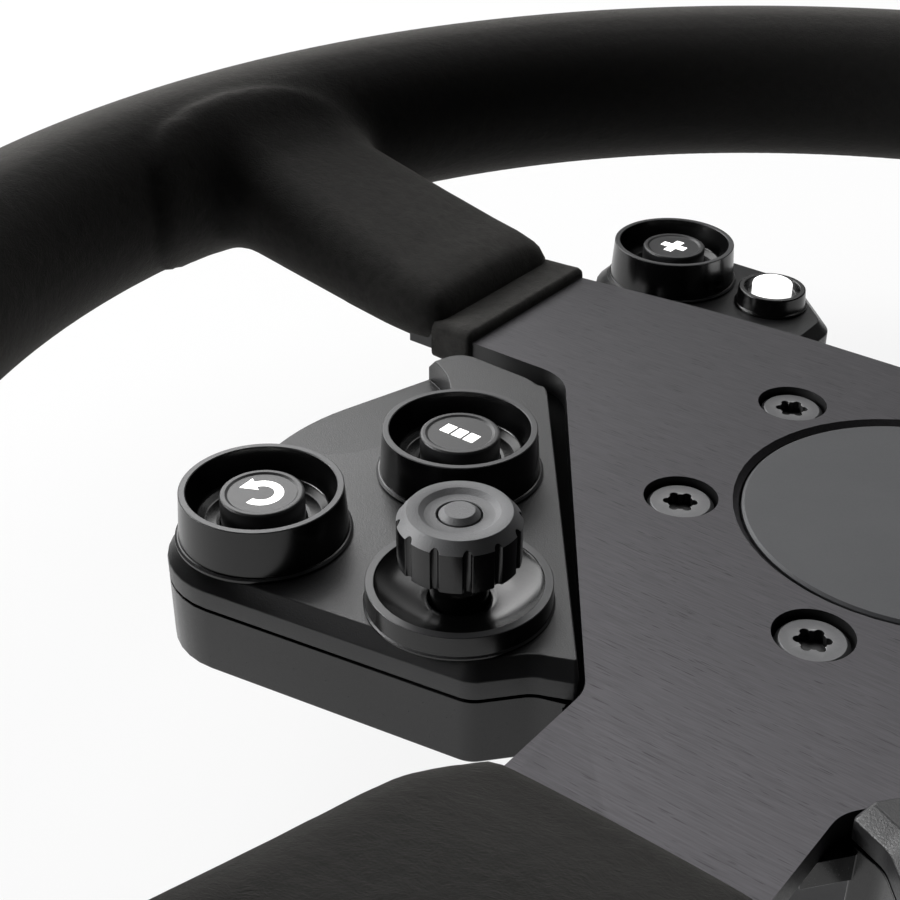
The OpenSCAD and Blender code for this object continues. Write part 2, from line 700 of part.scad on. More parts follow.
button(low_collars[0], low_z, false);  // button_lower_left_outer
button(low_collars[1], low_z, false);  // button_lower_left_inner
button(low_collars[0], low_z, true);  // button_lower_right_outer
button(low_collars[1], low_z, true);  // button_lower_right_inner
button(up_collar, up_z, false);  // button_upper_left
button(up_collar, up_z, true);  // button_upper_right
small_button(up_small, up_z, false);  // small_button_upper_left
small_button(up_small, up_z, true);  // small_button_upper_right
joystick_dish(false);  // joystick_dish_left
joystick_dish(true);  // joystick_dish_right
joystick_cradle(false);  // joystick_cradle_left
joystick_cradle(true);  // joystick_cradle_right
joystick_stem(false);  // joystick_stem_left
joystick_stem(true);  // joystick_stem_right
joystick_spindle(false);  // joystick_spindle_left
joystick_spindle(true);  // joystick_spindle_right
joystick_knob(false);  // joystick_knob_left
joystick_knob(true);  // joystick_knob_right
rear_housing();
rear_hub();
pod_screws();
paddle(false);  // shift_paddle_left
paddle(true);  // shift_paddle_right
paddle_pins();
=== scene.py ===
import math
import bmesh
import bpy
import numpy as np
from mathutils import Matrix, Vector


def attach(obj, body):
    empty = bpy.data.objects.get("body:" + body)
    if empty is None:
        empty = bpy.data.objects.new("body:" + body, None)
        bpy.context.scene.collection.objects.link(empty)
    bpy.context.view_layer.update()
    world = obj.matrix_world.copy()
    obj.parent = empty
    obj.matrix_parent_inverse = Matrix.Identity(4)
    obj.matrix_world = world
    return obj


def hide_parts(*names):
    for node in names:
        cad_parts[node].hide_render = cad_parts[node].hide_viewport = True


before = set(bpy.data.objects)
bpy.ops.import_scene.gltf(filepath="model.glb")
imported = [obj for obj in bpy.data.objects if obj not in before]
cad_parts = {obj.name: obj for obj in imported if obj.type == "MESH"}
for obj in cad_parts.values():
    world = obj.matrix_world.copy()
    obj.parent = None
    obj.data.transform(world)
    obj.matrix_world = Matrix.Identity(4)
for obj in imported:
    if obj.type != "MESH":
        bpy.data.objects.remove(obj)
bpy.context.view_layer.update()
mm = 0.001
plateFace = 40.0  # height of the plate's front face, in millimetres
lowTop, upTop = plateFace + 2.0, plateFace - 4.5  # tops of the lower and upper pods
print("frame loaded:", len(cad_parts), "nodes")


def newObject(name, mesh, material=None):
    thing = bpy.data.objects.new(name, mesh)
    bpy.context.scene.collection.objects.link(thing)
    if material:
        mesh.materials.clear()
        mesh.materials.append(material)
    return thing


def addPiece(name, mesh, body, material, replaced=()):
    piece = newObject(name, mesh, material)
    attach(piece, body)
    if replaced:
        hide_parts(*replaced)
    return piece


def smoothAll(mesh, angle=None):
    mesh.polygons.foreach_set("use_smooth", [True] * len(mesh.polygons))
    if angle is not None:
        mesh.set_sharp_from_angle(angle=math.radians(angle))


def roundProfile(points, steps=5):
    # each point is (r, z) or (r, z, fillet); a fillet turns the corner into a small arc
    out = []
    count = len(points)
    for i, p in enumerate(points):
        here = Vector(p[:2])
        fillet = p[2] if len(p) > 2 else 0
        if not fillet or i in (0, count - 1):
            out.append(here)
            continue
        before, after = Vector(points[i - 1][:2]) - here, Vector(points[i + 1][:2]) - here
        half = before.angle(after) / 2
        reach = min(fillet / math.tan(half), before.length * 0.48, after.length * 0.48)
        radius = reach * math.tan(half)
        centre = here + (before.normalized() + after.normalized()).normalized() * radius / math.sin(half)
        first = here + before.normalized() * reach - centre
        last = here + after.normalized() * reach - centre
        turn = first.angle_signed(last)
        hold = 0.04  # a line of points beside each arc keeps the flats flat
        if before.length - reach > 2.5 * hold:
            out.append(here + before.normalized() * (reach + hold))
        for k in range(steps + 1):
            out.append(centre + Matrix.Rotation(-turn * k / steps, 2) @ first)
        if after.length - reach > 2.5 * hold:
            out.append(here + after.normalized() * (reach + hold))
    return out


def lathe(points, centre, segments=128, steps=5):
    # turns a profile round a vertical axis; millimetres in, metres out
    profile = roundProfile(points, steps)
    verts, faces, rings = [], [], []
    for r, z in profile:
        if r < 1e-6:
            rings.append([len(verts)])
            verts.append((centre[0] * mm, centre[1] * mm, (centre[2] + z) * mm))
            continue
        ring = []
        for k in range(segments):
            turn = 2 * math.pi * k / segments
            ring.append(len(verts))
            x, y = centre[0] + r * math.cos(turn), centre[1] + r * math.sin(turn)
            verts.append((x * mm, y * mm, (centre[2] + z) * mm))
        rings.append(ring)
    for a, b in zip(rings, rings[1:]):
        for k in range(segments):
            n = (k + 1) % segments
            if len(a) == 1 and len(b) == 1:
                continue
            if len(a) == 1:
                faces.append((a[0], b[n], b[k]))
            elif len(b) == 1:
                faces.append((a[k], a[n], b[0]))
            else:
                faces.append((a[k], a[n], b[n], b[k]))
    mesh = bpy.data.meshes.new("lathe")
    mesh.from_pydata(verts, [], faces)
    finishMesh(mesh)
    return mesh


def tint(piece, material, test):
    # gives the faces that pass the test their own finish
    piece.data.materials.append(material)
    index = len(piece.data.materials) - 1
    for face in piece.data.polygons:
        if test(face.center / mm, face.normal):
            face.material_index = index


def finishMesh(mesh, sharp=40):
    bm = bmesh.new()
    bm.from_mesh(mesh)
    bmesh.ops.remove_doubles(bm, verts=bm.verts, dist=1e-7)
    bmesh.ops.recalc_face_normals(bm, faces=bm.faces)
    bm.to_mesh(mesh)
    bm.free()
    smoothAll(mesh, sharp)


def refine(nodeName, width, material, body="wheel", segments=2, angle=32):
    # a copy of a CAD node with its real small edge radius
    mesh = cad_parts[nodeName].data.copy()
    bm = bmesh.new()
    bm.from_mesh(mesh)
    bmesh.ops.remove_doubles(bm, verts=bm.verts, dist=2e-6)
    bmesh.ops.dissolve_limit(bm, angle_limit=math.radians(0.6), verts=bm.verts, edges=bm.edges)
    bm.to_mesh(mesh)
    bm.free()
    name = "".join(w.capitalize() if i else w for i, w in enumerate(nodeName.split("_")))
    piece = addPiece(name, mesh, body, material, [nodeName])
    bevelEdges(piece, width, segments, angle)
    return piece


def bevelEdges(piece, width, segments=2, angle=32):
    bevel = piece.modifiers.new("edge", "BEVEL")
    bevel.width = width * mm
    bevel.segments = segments
    bevel.limit_method = "ANGLE"
    bevel.angle_limit = math.radians(angle)
    bevel.use_clamp_overlap = True
    smoothAll(piece.data)
    weighted = piece.modifiers.new("normals", "WEIGHTED_NORMAL")
    weighted.keep_sharp = True
    weighted.weight = 80


def group(name, inputs, outputs):
    tree = bpy.data.node_groups.new(name, "ShaderNodeTree")
    for label, kind, value in inputs:
        tree.interface.new_socket(label, in_out="INPUT", socket_type=kind).default_value = value
    for label, kind in outputs:
        tree.interface.new_socket(label, in_out="OUTPUT", socket_type=kind)
    return tree, tree.nodes.new("NodeGroupInput"), tree.nodes.new("NodeGroupOutput")


def put(tree, kind, values=None, **settings):
    node = tree.nodes.new(kind)
    for key, value in settings.items():
        setattr(node, key, value)
    for key, value in (values or {}).items():
        node.inputs[key].default_value = value
    return node


def wire(tree, *pairs):
    for source, target in pairs:
        tree.links.new(source, target)


def math2(tree, operation, a, b, clamp=False):
    node = put(tree, "ShaderNodeMath", operation=operation, use_clamp=clamp)
    for i, v in enumerate((a, b)):
        if isinstance(v, (int, float)):
            node.inputs[i].default_value = v
        else:
            tree.links.new(v, node.inputs[i])
    return node.outputs[0]


def mixColour(tree, fac, a, b):
    node = put(tree, "ShaderNodeMix", data_type="RGBA", blend_type="MIX")
    for socket, v in ((node.inputs["Factor"], fac), (node.inputs[6], a), (node.inputs[7], b)):
        if isinstance(v, (int, float)):
            socket.default_value = v
        elif isinstance(v, (tuple, list)):
            socket.default_value = (*v[:3], 1)
        else:
            tree.links.new(v, socket)
    return node.outputs[2]


def buildGrain():
    # two scales of noise: a fine height for bump and roughness, broad patches for colour
    tree, gin, gout = group("fineGrain",
                            [("Scale", "NodeSocketFloat", 2500.0), ("Patch Scale", "NodeSocketFloat", 60.0)],
                            [("Height", "NodeSocketFloat"), ("Patches", "NodeSocketFloat")])
    coord = put(tree, "ShaderNodeTexCoord")
    fine = put(tree, "ShaderNodeTexNoise", {"Detail": 3.0, "Roughness": 0.6})
    broad = put(tree, "ShaderNodeTexNoise", {"Detail": 4.0, "Roughness": 0.55})
    wire(tree, (coord.outputs["Object"], fine.inputs["Vector"]), (coord.outputs["Object"], broad.inputs["Vector"]),
         (gin.outputs["Scale"], fine.inputs["Scale"]), (gin.outputs["Patch Scale"], broad.inputs["Scale"]),
         (fine.outputs["Fac"], gout.inputs["Height"]), (broad.outputs["Fac"], gout.inputs["Patches"]))
    return tree


def buildBrush():
    # long fine lines along X, broken into strokes
    tree, gin, gout = group("brushLines",
                            [("Lines", "NodeSocketFloat", 5200.0), ("Stroke", "NodeSocketFloat", 70.0)],
                            [("Height", "NodeSocketFloat"), ("Streaks", "NodeSocketFloat"),
                             ("Scratches", "NodeSocketFloat")])
    coord = put(tree, "ShaderNodeTexCoord")
    split = put(tree, "ShaderNodeSeparateXYZ")
    wire(tree, (coord.outputs["Object"], split.inputs[0]))
    # one noise each for height, streaks and scratches: factors on lines and stroke, then detail
    outs = []
    for lines, stroke, detail in ((1.0, 1.0, 2.0), (0.5, 1.2, 2.0), (0.62, 2.2, 1.0)):
        join = put(tree, "ShaderNodeCombineXYZ")
        along = math2(tree, "MULTIPLY", split.outputs["X"], math2(tree, "MULTIPLY", gin.outputs["Stroke"], stroke))
        across = math2(tree, "MULTIPLY", split.outputs["Y"], math2(tree, "MULTIPLY", gin.outputs["Lines"], lines))
        up = math2(tree, "MULTIPLY", split.outputs["Z"], math2(tree, "MULTIPLY", gin.outputs["Lines"], lines))
        wire(tree, (along, join.inputs[0]), (across, join.inputs[1]), (up, join.inputs[2]))
        noise = put(tree, "ShaderNodeTexNoise", {"Scale": 1.0, "Detail": detail, "Roughness": 0.6})
        wire(tree, (join.outputs[0], noise.inputs["Vector"]))
        outs.append(noise.outputs["Fac"])
    ramp = put(tree, "ShaderNodeMapRange", {"From Min": 0.66, "From Max": 0.74})
    wire(tree, (outs[2], ramp.inputs["Value"]), (outs[0], gout.inputs["Height"]), (outs[1], gout.inputs["Streaks"]),
         (ramp.outputs[0], gout.inputs["Scratches"]))
    return tree


def buildEdgeWear():
    # mask of exposed edges, broken up by noise
    tree, gin, gout = group("edgeWear",
                            [("Start", "NodeSocketFloat", 0.53), ("Full", "NodeSocketFloat", 0.6),
                             ("Break Scale", "NodeSocketFloat", 900.0)],
                            [("Mask", "NodeSocketFloat")])
    geo = put(tree, "ShaderNodeNewGeometry")
    coord = put(tree, "ShaderNodeTexCoord")
    noise = put(tree, "ShaderNodeTexNoise", {"Detail": 3.0})
    ramp = put(tree, "ShaderNodeMapRange")
    wire(tree, (geo.outputs["Pointiness"], ramp.inputs["Value"]), (gin.outputs["Start"], ramp.inputs["From Min"]),
         (gin.outputs["Full"], ramp.inputs["From Max"]), (coord.outputs["Object"], noise.inputs["Vector"]),
         (gin.outputs["Break Scale"], noise.inputs["Scale"]))
    broken = math2(tree, "MULTIPLY", noise.outputs["Fac"], 1.5, clamp=True)
    wire(tree, (math2(tree, "MULTIPLY", ramp.outputs[0], broken, clamp=True), gout.inputs["Mask"]))
    return tree


def buildNap():
    # suede: short brushed fibres in clumps, and broad light and dark sweeps
    tree, gin, gout = group("suedeNap",
                            [("Fibre Scale", "NodeSocketFloat", 2600.0), ("Sweep Scale", "NodeSocketFloat", 16.0)],
                            [("Height", "NodeSocketFloat"), ("Fibres", "NodeSocketFloat"),
                             ("Sweeps", "NodeSocketFloat")])
    coord = put(tree, "ShaderNodeTexCoord")
    warp = put(tree, "ShaderNodeTexNoise", {"Scale": 220.0, "Detail": 2.0})
    bent = put(tree, "ShaderNodeVectorMath", operation="MULTIPLY_ADD")
    bent.inputs[1].default_value = (0.004, 0.004, 0.004)
    fine = put(tree, "ShaderNodeTexNoise", {"Detail": 4.0, "Roughness": 0.7})
    clump = put(tree, "ShaderNodeTexNoise", {"Scale": 520.0, "Detail": 3.0, "Roughness": 0.6})
    broad = put(tree, "ShaderNodeTexNoise", {"Detail": 3.0, "Roughness": 0.5, "Distortion": 0.6})
    wire(tree, (coord.outputs["Object"], warp.inputs["Vector"]), (warp.outputs["Color"], bent.inputs[0]),
         (coord.outputs["Object"], bent.inputs[2]), (bent.outputs[0], fine.inputs["Vector"]),
         (bent.outputs[0], clump.inputs["Vector"]), (coord.outputs["Object"], broad.inputs["Vector"]),
         (gin.outputs["Fibre Scale"], fine.inputs["Scale"]), (gin.outputs["Sweep Scale"], broad.inputs["Scale"]))
    fineShare = math2(tree, "MULTIPLY", fine.outputs["Fac"], 0.6)
    clumpShare = math2(tree, "MULTIPLY", clump.outputs["Fac"], 0.5)
    wire(tree, (math2(tree, "ADD", fineShare, clumpShare), gout.inputs["Height"]),
         (clump.outputs["Fac"], gout.inputs["Fibres"]), (broad.outputs["Fac"], gout.inputs["Sweeps"]))
    return tree


groups = {"grain": buildGrain(), "brush": buildBrush(), "wear": buildEdgeWear(), "nap": buildNap()}


def useGroup(tree, key, values=None):
    node = tree.nodes.new("ShaderNodeGroup")
    node.node_tree = groups[key]
    for name, value in (values or {}).items():
        node.inputs[name].default_value = value
    return node


def startMaterial(name, **shader):
    material = bpy.data.materials.new(name)
    material.use_nodes = True
    tree = material.node_tree
    principled = tree.nodes["Principled BSDF"]
    for key, value in shader.items():
        principled.inputs[key.replace("_", " ")].default_value = value
    return material, tree, principled


def bump(tree, principled, height, strength, distance):
    node = put(tree, "ShaderNodeBump", {"Strength": strength, "Distance": distance})
    wire(tree, (height, node.inputs["Height"]), (node.outputs[0], principled.inputs["Normal"]))


def mapTo(tree, value, low, high, fromLow=0.3, fromHigh=0.7):
    node = put(tree, "ShaderNodeMapRange", {"From Min": fromLow, "From Max": fromHigh,
                                            "To Min": low, "To Max": high})
    wire(tree, (value, node.inputs["Value"]))
    return node.outputs[0]


def satinMaterial(name, base, light, rough, grain, bumpStrength, metallic=0.0, wearColour=None,
                  bumpDepth=0.00003, spread=0.05, **shader):
    # machined or moulded dark parts: fine grain, broad tone change, brighter worn edges
    material, tree, principled = startMaterial(name, Metallic=metallic, **shader)
    fine = useGroup(tree, "grain", {"Scale": grain, "Patch Scale": 60.0})
    tone = mapTo(tree, fine.outputs["Patches"], 0, 1)
    colour = mixColour(tree, tone, base, light)
    if wearColour:
        wear = useGroup(tree, "wear")
        colour = mixColour(tree, wear.outputs["Mask"], colour, wearColour)
    roughness = mapTo(tree, fine.outputs["Height"], rough - spread, rough + spread)
    wire(tree, (colour, principled.inputs["Base Color"]), (roughness, principled.inputs["Roughness"]))
    bump(tree, principled, fine.outputs["Height"], bumpStrength, bumpDepth)
    return material


def plateMaterial():
    look = {"dark": (0.055, 0.053, 0.057), "light": (0.077, 0.074, 0.08), "scratch": (0.022, 0.021, 0.023),
            "lines": 6800.0, "stroke": 130.0, "grain": 1800.0, "patch": 22.0, "metallic": 0.8,
            "rough": (0.34, 0.44), "bumpStrength": 0.3, "bumpDepth": 0.00002}
    material, tree, principled = startMaterial("brushedPlate", Metallic=look["metallic"])
    lines = useGroup(tree, "brush", {"Lines": look["lines"], "Stroke": look["stroke"]})
    grain = useGroup(tree, "grain", {"Scale": look["grain"], "Patch Scale": look["patch"]})
    tone = mapTo(tree, lines.outputs["Streaks"], 0, 1)
    colour = mixColour(tree, tone, look["dark"], look["light"])
    scratches = math2(tree, "MULTIPLY", lines.outputs["Scratches"], 0.75)
    colour = mixColour(tree, scratches, colour, look["scratch"])
    colour = mixColour(tree, mapTo(tree, grain.outputs["Patches"], 0.0, 0.2), colour, look["light"])
    rough = mapTo(tree, lines.outputs["Height"], *look["rough"])
    wire(tree, (colour, principled.inputs["Base Color"]), (rough, principled.inputs["Roughness"]))
    bump(tree, principled, lines.outputs["Height"], look["bumpStrength"], look["bumpDepth"])
    return material


def suedeMaterial(name, paintedLight):
    # nearly black on the rim, painted light on the side sleeves and less of it on the low sleeve: these tones by place
    # stand in for how light falls
    look = {"rimDeep": (0.0010, 0.0010, 0.0010), "rimRaised": (0.0048, 0.0048, 0.0046),
            "deep": (0.013 * paintedLight, 0.0127 * paintedLight, 0.0122 * paintedLight),
            "raised": (0.032 * paintedLight, 0.0313 * paintedLight, 0.0298 * paintedLight),
            "lowShadedDeep": (0.003, 0.003, 0.0029), "lowShadedRaised": (0.0085, 0.0084, 0.008),
            "sleeveEnd": 0.116, "rimStart": 0.147, "lowFull": -0.09, "lowStart": -0.05}  # metres
    material, tree, principled = startMaterial(name, Roughness=0.95, Sheen_Weight=0.27, Sheen_Roughness=0.5,
                                               Sheen_Tint=(0.55, 0.53, 0.5, 1), Specular_IOR_Level=0.15)
    nap = useGroup(tree, "nap")
    mask = math2(tree, "MULTIPLY", mapTo(tree, nap.outputs["Fibres"], 0.2, 1),
                 mapTo(tree, nap.outputs["Sweeps"], 0.35, 1.0))
    coord = put(tree, "ShaderNodeTexCoord")
    flat = put(tree, "ShaderNodeVectorMath", operation="MULTIPLY")
    flat.inputs[1].default_value = (1, 1, 0)
    radius = put(tree, "ShaderNodeVectorMath", operation="LENGTH")
    split = put(tree, "ShaderNodeSeparateXYZ")
    wire(tree, (coord.outputs["Object"], flat.inputs[0]), (flat.outputs[0], radius.inputs[0]),
         (coord.outputs["Object"], split.inputs[0]))
    # masks by place: where the sleeves' painted light starts, and where the low sleeve's darker tone, a painted shade,
    # takes over
    onSleeve = mapTo(tree, radius.outputs["Value"], 1, 0, look["sleeveEnd"], look["rimStart"])
    onLow = mapTo(tree, split.outputs["Y"], 1, 0, look["lowFull"], look["lowStart"])
    rim = mixColour(tree, mask, look["rimDeep"], look["rimRaised"])
    sideLitTone = mixColour(tree, mask, look["deep"], look["raised"])
    lowShadedTone = mixColour(tree, mask, look["lowShadedDeep"], look["lowShadedRaised"])
    sleeve = mixColour(tree, onLow, sideLitTone, lowShadedTone)
    wire(tree, (mixColour(tree, onSleeve, rim, sleeve), principled.inputs["Base Color"]))
    bump(tree, principled, nap.outputs["Height"], 0.5, 0.0004)
    return material


def glowMaterial(name, colour, strength):
    # lit window of a button: light shines through slightly uneven plastic
    material, tree, principled = startMaterial(name, Roughness=0.35)
    fine = useGroup(tree, "grain", {"Scale": 900.0, "Patch Scale": 400.0})
    glow = mixColour(tree, mapTo(tree, fine.outputs["Patches"], 0, 1), colour, (1, 1, 1))
    wire(tree, (glow, principled.inputs["Emission Color"]))
    principled.inputs["Base Color"].default_value = (*colour, 1)
    principled.inputs["Emission Strength"].default_value = strength
    return material


looks = {
    "plate": plateMaterial(),
    # near-black finish for the plate's sides and bevels: painted shade along its edges
    "plateEdgeShade": satinMaterial("plateEdgeShade", (0.006, 0.006, 0.0063), (0.011, 0.011, 0.0115),
        rough=0.42, grain=3200.0, bumpStrength=0.2, bumpDepth=0.00002),
    "suede": suedeMaterial("blackSuede", 1.0),
    # the hems get twice the side sleeves' painted light
    "fold": suedeMaterial("foldedSuedePaintedLight", 2.0),
    "screw": satinMaterial("screwSteel", (0.115, 0.115, 0.118), (0.15, 0.15, 0.153),
        rough=0.42, grain=1800.0, bumpStrength=0.25, metallic=0.8, wearColour=(0.3, 0.3, 0.3)),
    # darker copy of the screw steel: painted shade in the recesses
    "socket": satinMaterial("screwSocketShade", (0.006, 0.006, 0.006), (0.012, 0.012, 0.012),
        rough=0.4, grain=1800.0, bumpStrength=0.2),
    "cap": satinMaterial("capMatte", (0.062, 0.063, 0.067), (0.072, 0.073, 0.077),
        rough=0.48, grain=5200.0, bumpStrength=0.3, metallic=0.3, bumpDepth=0.00002),
    "cover": satinMaterial("coverBlasted", (0.013, 0.013, 0.0138), (0.021, 0.021, 0.022),
        rough=0.36, grain=4200.0, bumpStrength=0.7, wearColour=(0.05, 0.05, 0.05), bumpDepth=0.00005),
    "tray": satinMaterial("traySatin", (0.008, 0.008, 0.0085), (0.013, 0.013, 0.0136),
        rough=0.23, grain=3600.0, bumpStrength=0.35, wearColour=(0.04, 0.04, 0.04), bumpDepth=0.00002),
    "collar": satinMaterial("collarBlack", (0.0012, 0.0012, 0.0013), (0.0025, 0.0025, 0.0026),
        rough=0.22, grain=5200.0, bumpStrength=0.08, bumpDepth=0.00001),
    # lighter finish for thin rings on collars, dishes and knobs: painted highlight
    "rimHighlight": satinMaterial("collarRim", (0.042, 0.042, 0.044), (0.06, 0.06, 0.062),
        rough=0.35, grain=5200.0, bumpStrength=0.2, metallic=0.2, bumpDepth=0.00002),
    "button": satinMaterial("buttonSatin", (0.02, 0.02, 0.021), (0.03, 0.03, 0.031),
        rough=0.36, grain=3600.0, bumpStrength=0.3, bumpDepth=0.00002),
    "knob": satinMaterial("knobBlasted", (0.115, 0.116, 0.119), (0.145, 0.146, 0.15),
        rough=0.5, grain=4600.0, bumpStrength=0.9, metallic=0.15, bumpDepth=0.00006),
    "land": satinMaterial("knobLand", (0.0015, 0.0015, 0.0016), (0.003, 0.003, 0.0032),
        rough=0.2, grain=3600.0, bumpStrength=0.1, bumpDepth=0.00001),
    "ball": satinMaterial("ballGloss", (0.002, 0.002, 0.002), (0.004, 0.004, 0.004),
        rough=0.1, grain=900.0, bumpStrength=0.03, bumpDepth=0.00001, spread=0.03),
    # near-black matt finish for the flange in the groove: painted shade
    "shade": satinMaterial("groovePaintedShade", (0.001, 0.001, 0.001), (0.002, 0.002, 0.002),
        rough=0.85, grain=3600.0, bumpStrength=0.2, Specular_IOR_Level=0.05),
    "rear": satinMaterial("rearPlastic", (0.02, 0.02, 0.0205), (0.03, 0.03, 0.031),
        rough=0.5, grain=2200.0, bumpStrength=0.5, wearColour=(0.07, 0.07, 0.07), bumpDepth=0.00006),
    "hub": satinMaterial("hubMetal", (0.06, 0.06, 0.062), (0.085, 0.085, 0.087),
        rough=0.4, grain=2600.0, bumpStrength=0.3, metallic=0.8, wearColour=(0.2, 0.2, 0.2)),
    "paddle": satinMaterial("paddleSatin", (0.035, 0.035, 0.036), (0.05, 0.05, 0.051),
        rough=0.4, grain=3000.0, bumpStrength=0.4, metallic=0.6, wearColour=(0.2, 0.2, 0.2)),
    "pin": satinMaterial("pinSteel", (0.4, 0.4, 0.41), (0.5, 0.5, 0.51),
        rough=0.25, grain=1200.0, bumpStrength=0.1, metallic=1.0),
    "board": satinMaterial("boardGreen", (0.02, 0.09, 0.045), (0.03, 0.12, 0.06),
        rough=0.45, grain=1500.0, bumpStrength=0.2),
    "lit": glowMaterial("litWhite", (0.93, 0.93, 0.9), 1.6),
    "litCap": glowMaterial("litCap", (0.97, 0.97, 0.97), 1.3),
}
print("materials ready:", len(looks))


plateShape = {"capHole": 26.55, "capEdge": 27.5, "holeFrom": 27.2, "holeMiddle": 28, "holeTo": 29,
              "bevel": 1.5, "fineBevel": 0.22, "fineWithin": 42.8, "sharp": 35, "flatness": 0.3}


def buildPlate():
    # wide bevels outside, fine ones inside, and the middle hole closed up round the cap
    s = plateShape
    plate = refine("spoke_plate", s["bevel"], looks["plate"], segments=4, angle=40)
    bm = bmesh.new()
    bm.from_mesh(plate.data)
    weights = bm.edges.layers.float.new("bevel_weight_edge")
    for vert in bm.verts:
        r = vert.co.xy.length / mm
        if s["holeFrom"] < r < s["holeTo"]:
            wanted = s["capEdge"] if r > s["holeMiddle"] else s["capHole"]
            vert.co.x, vert.co.y = vert.co.x * wanted / r, vert.co.y * wanted / r
    for edge in bm.edges:
        if len(edge.link_faces) == 2 and edge.calc_face_angle() > math.radians(s["sharp"]):
            outer = min(v.co.xy.length for v in edge.verts) > s["fineWithin"] * mm
            edge[weights] = 1.0 if outer else s["fineBevel"] / s["bevel"]
    bm.to_mesh(plate.data)
    bm.free()
    plate.modifiers["edge"].limit_method = "WEIGHT"
    # painted shade: the upright sides and every bevel face take the near-black finish, standing in for the shade on
    # the plate's edges
    tint(plate, looks["plateEdgeShade"], lambda at, normal: abs(normal.z) < s["flatness"])
    plate.modifiers["edge"].material = 1


buildPlate()
capShape = {"radius": 26.15, "top": plateFace - 0.3, "flange": 26.4, "low": 36.2}


def buildCap():
    c = capShape
    high = c["top"] - c["low"]
    profile = [(0, 0), (c["flange"], 0, 0.1), (c["flange"], 0.7, 0.1), (c["radius"], 0.75),
               (c["radius"], high - 0.35, 0.06), (c["radius"] - 0.42, high, 0.06), (0, high)]
    addPiece("centreCap", lathe(profile, (0, 0, c["low"]), 192, 3), "wheel", looks["cap"], ["centre_cap"])


buildCap()
screws = refine("hub_screws", 0.14, looks["screw"])
# painted shade: faces deep in the recess and upright faces take the darker socket finish
socketDepth = 2.4  # faces below this, and upright ones, are darker
tint(screws, looks["socket"], lambda at, normal: abs(normal.z) < 0.3 or at.z < plateFace - socketDepth)
refine("pod_screws", 0.15, looks["screw"])
refine("rear_housing", 0.6, looks["rear"])
refine("rear_hub", 0.4, looks["hub"])
refine("paddle_pins", 0.2, looks["pin"])

# the lower covers reach a little closer to the plate, over the dark groove between them
groove = {"from": Vector((18.9, -62.6)), "to": Vector((65.6, -3.4)), "reach": 1.0, "edge": 0.9,
          "coverDeep": 6.6, "wide": 7.0, "below": 2.0}
grooveRun = (groove["to"] - groove["from"]).normalized()


def fromGroove(x, y):
    # distance from the pod's plate side, positive towards the plate
    away = Vector((abs(x), y)) - groove["from"]
    return away.x * grooveRun.y - away.y * grooveRun.x


def grooveShadeFaces(at, normal):
    # the flange that shows between cover and plate; these faces take painted shade, a near-black finish for the shadow
    # in the groove
    return (normal.z > 0.5 and at.z < plateFace - groove["below"]
            and abs(fromGroove(at.x, at.y)) < groove["wide"])


def buildPod(place):
    cover = refine("pod_cover_" + place, 0.22, looks["cover"], segments=2, angle=18)
    body = refine("pod_body_" + place, 0.3, looks["tray"], segments=2, angle=25)
    if "lower" in place:
        for vert in cover.data.vertices:
            x, y = vert.co.x / mm, vert.co.y / mm
            if abs(fromGroove(x, y)) < groove["edge"] and vert.co.z > (lowTop - groove["coverDeep"]) * mm:
                vert.co.x -= math.copysign(grooveRun.y, x) * groove["reach"] * mm
                vert.co.y += grooveRun.x * groove["reach"] * mm
        # painted shade on the flange in the groove
        tint(body, looks["shade"], grooveShadeFaces)


for place in ("lower_left", "lower_right", "upper_left", "upper_right"):
    buildPod(place)
    refine("switch_board_" + place, 0.1, looks["board"])
for hand in ("left", "right"):
    refine("shift_paddle_" + hand, 0.5, looks["paddle"], "shift_paddle_" + hand, 3)
    refine("joystick_cradle_" + hand, 0.15, looks["pin"], "joystick_cradle_" + hand)
print("frame pieces dressed")


# cell is the voxel size of the draft, edge the lip of the tongues on the rim
grip = {"ringRadius": 160.0, "ringHeight": 52.0, "section": 16.4, "blend": 8.0, "cell": 1.7, "edge": 1.1,
        "around": 220, "across": 40, "slices": 14, "crown": 0.6, "cornerShare": 0.86, "relax": 0.4}
fit = {"passes": 14, "step": 0.02, "reach": 1.5, "ease": 0.8}  # how vertices are drawn onto the shape
# each sleeve: distance along the spoke, then half width, half thickness and middle height there
sideSleeve = {"offset": 19.0, "start": 91.0, "roll": 2.4,
              "along": (91, 94, 98, 104, 115, 150),
              "halfWidth": (17.4, 17.8, 18.1, 18.1, 17.8, 17.0),
              "halfHeight": (3.9, 4.7, 5.4, 6.0, 7.2, 10.6),
              "middle": (39.6, 40.6, 41.2, 42.0, 44.0, 51.0)}
lowSleeve = {"offset": 0.0, "start": 79.6, "roll": 1.6,
             "along": (79.6, 84, 88, 92, 98, 110, 120, 150),
             "halfWidth": (18.8, 21.2, 23.1, 24.1, 24.5, 25.0, 25.6, 28),
             "halfHeight": (3.3, 4.4, 5.3, 6.1, 6.9, 7.9, 8.8, 10.6),
             "middle": (38.2, 38.5, 39.0, 39.8, 41.1, 43.6, 45.7, 52.0)}
# the rounded tongue of each sleeve on the rim, with a cut edge
tongueShape = {"start": 141.0, "reach": 12.0, "sideMiddle": 9.0, "sideSpread": 24.0, "lowSpread": 27.0,
               "past": 90.0, "steep": 1.2, "round": 0.7, "join": 1.2}


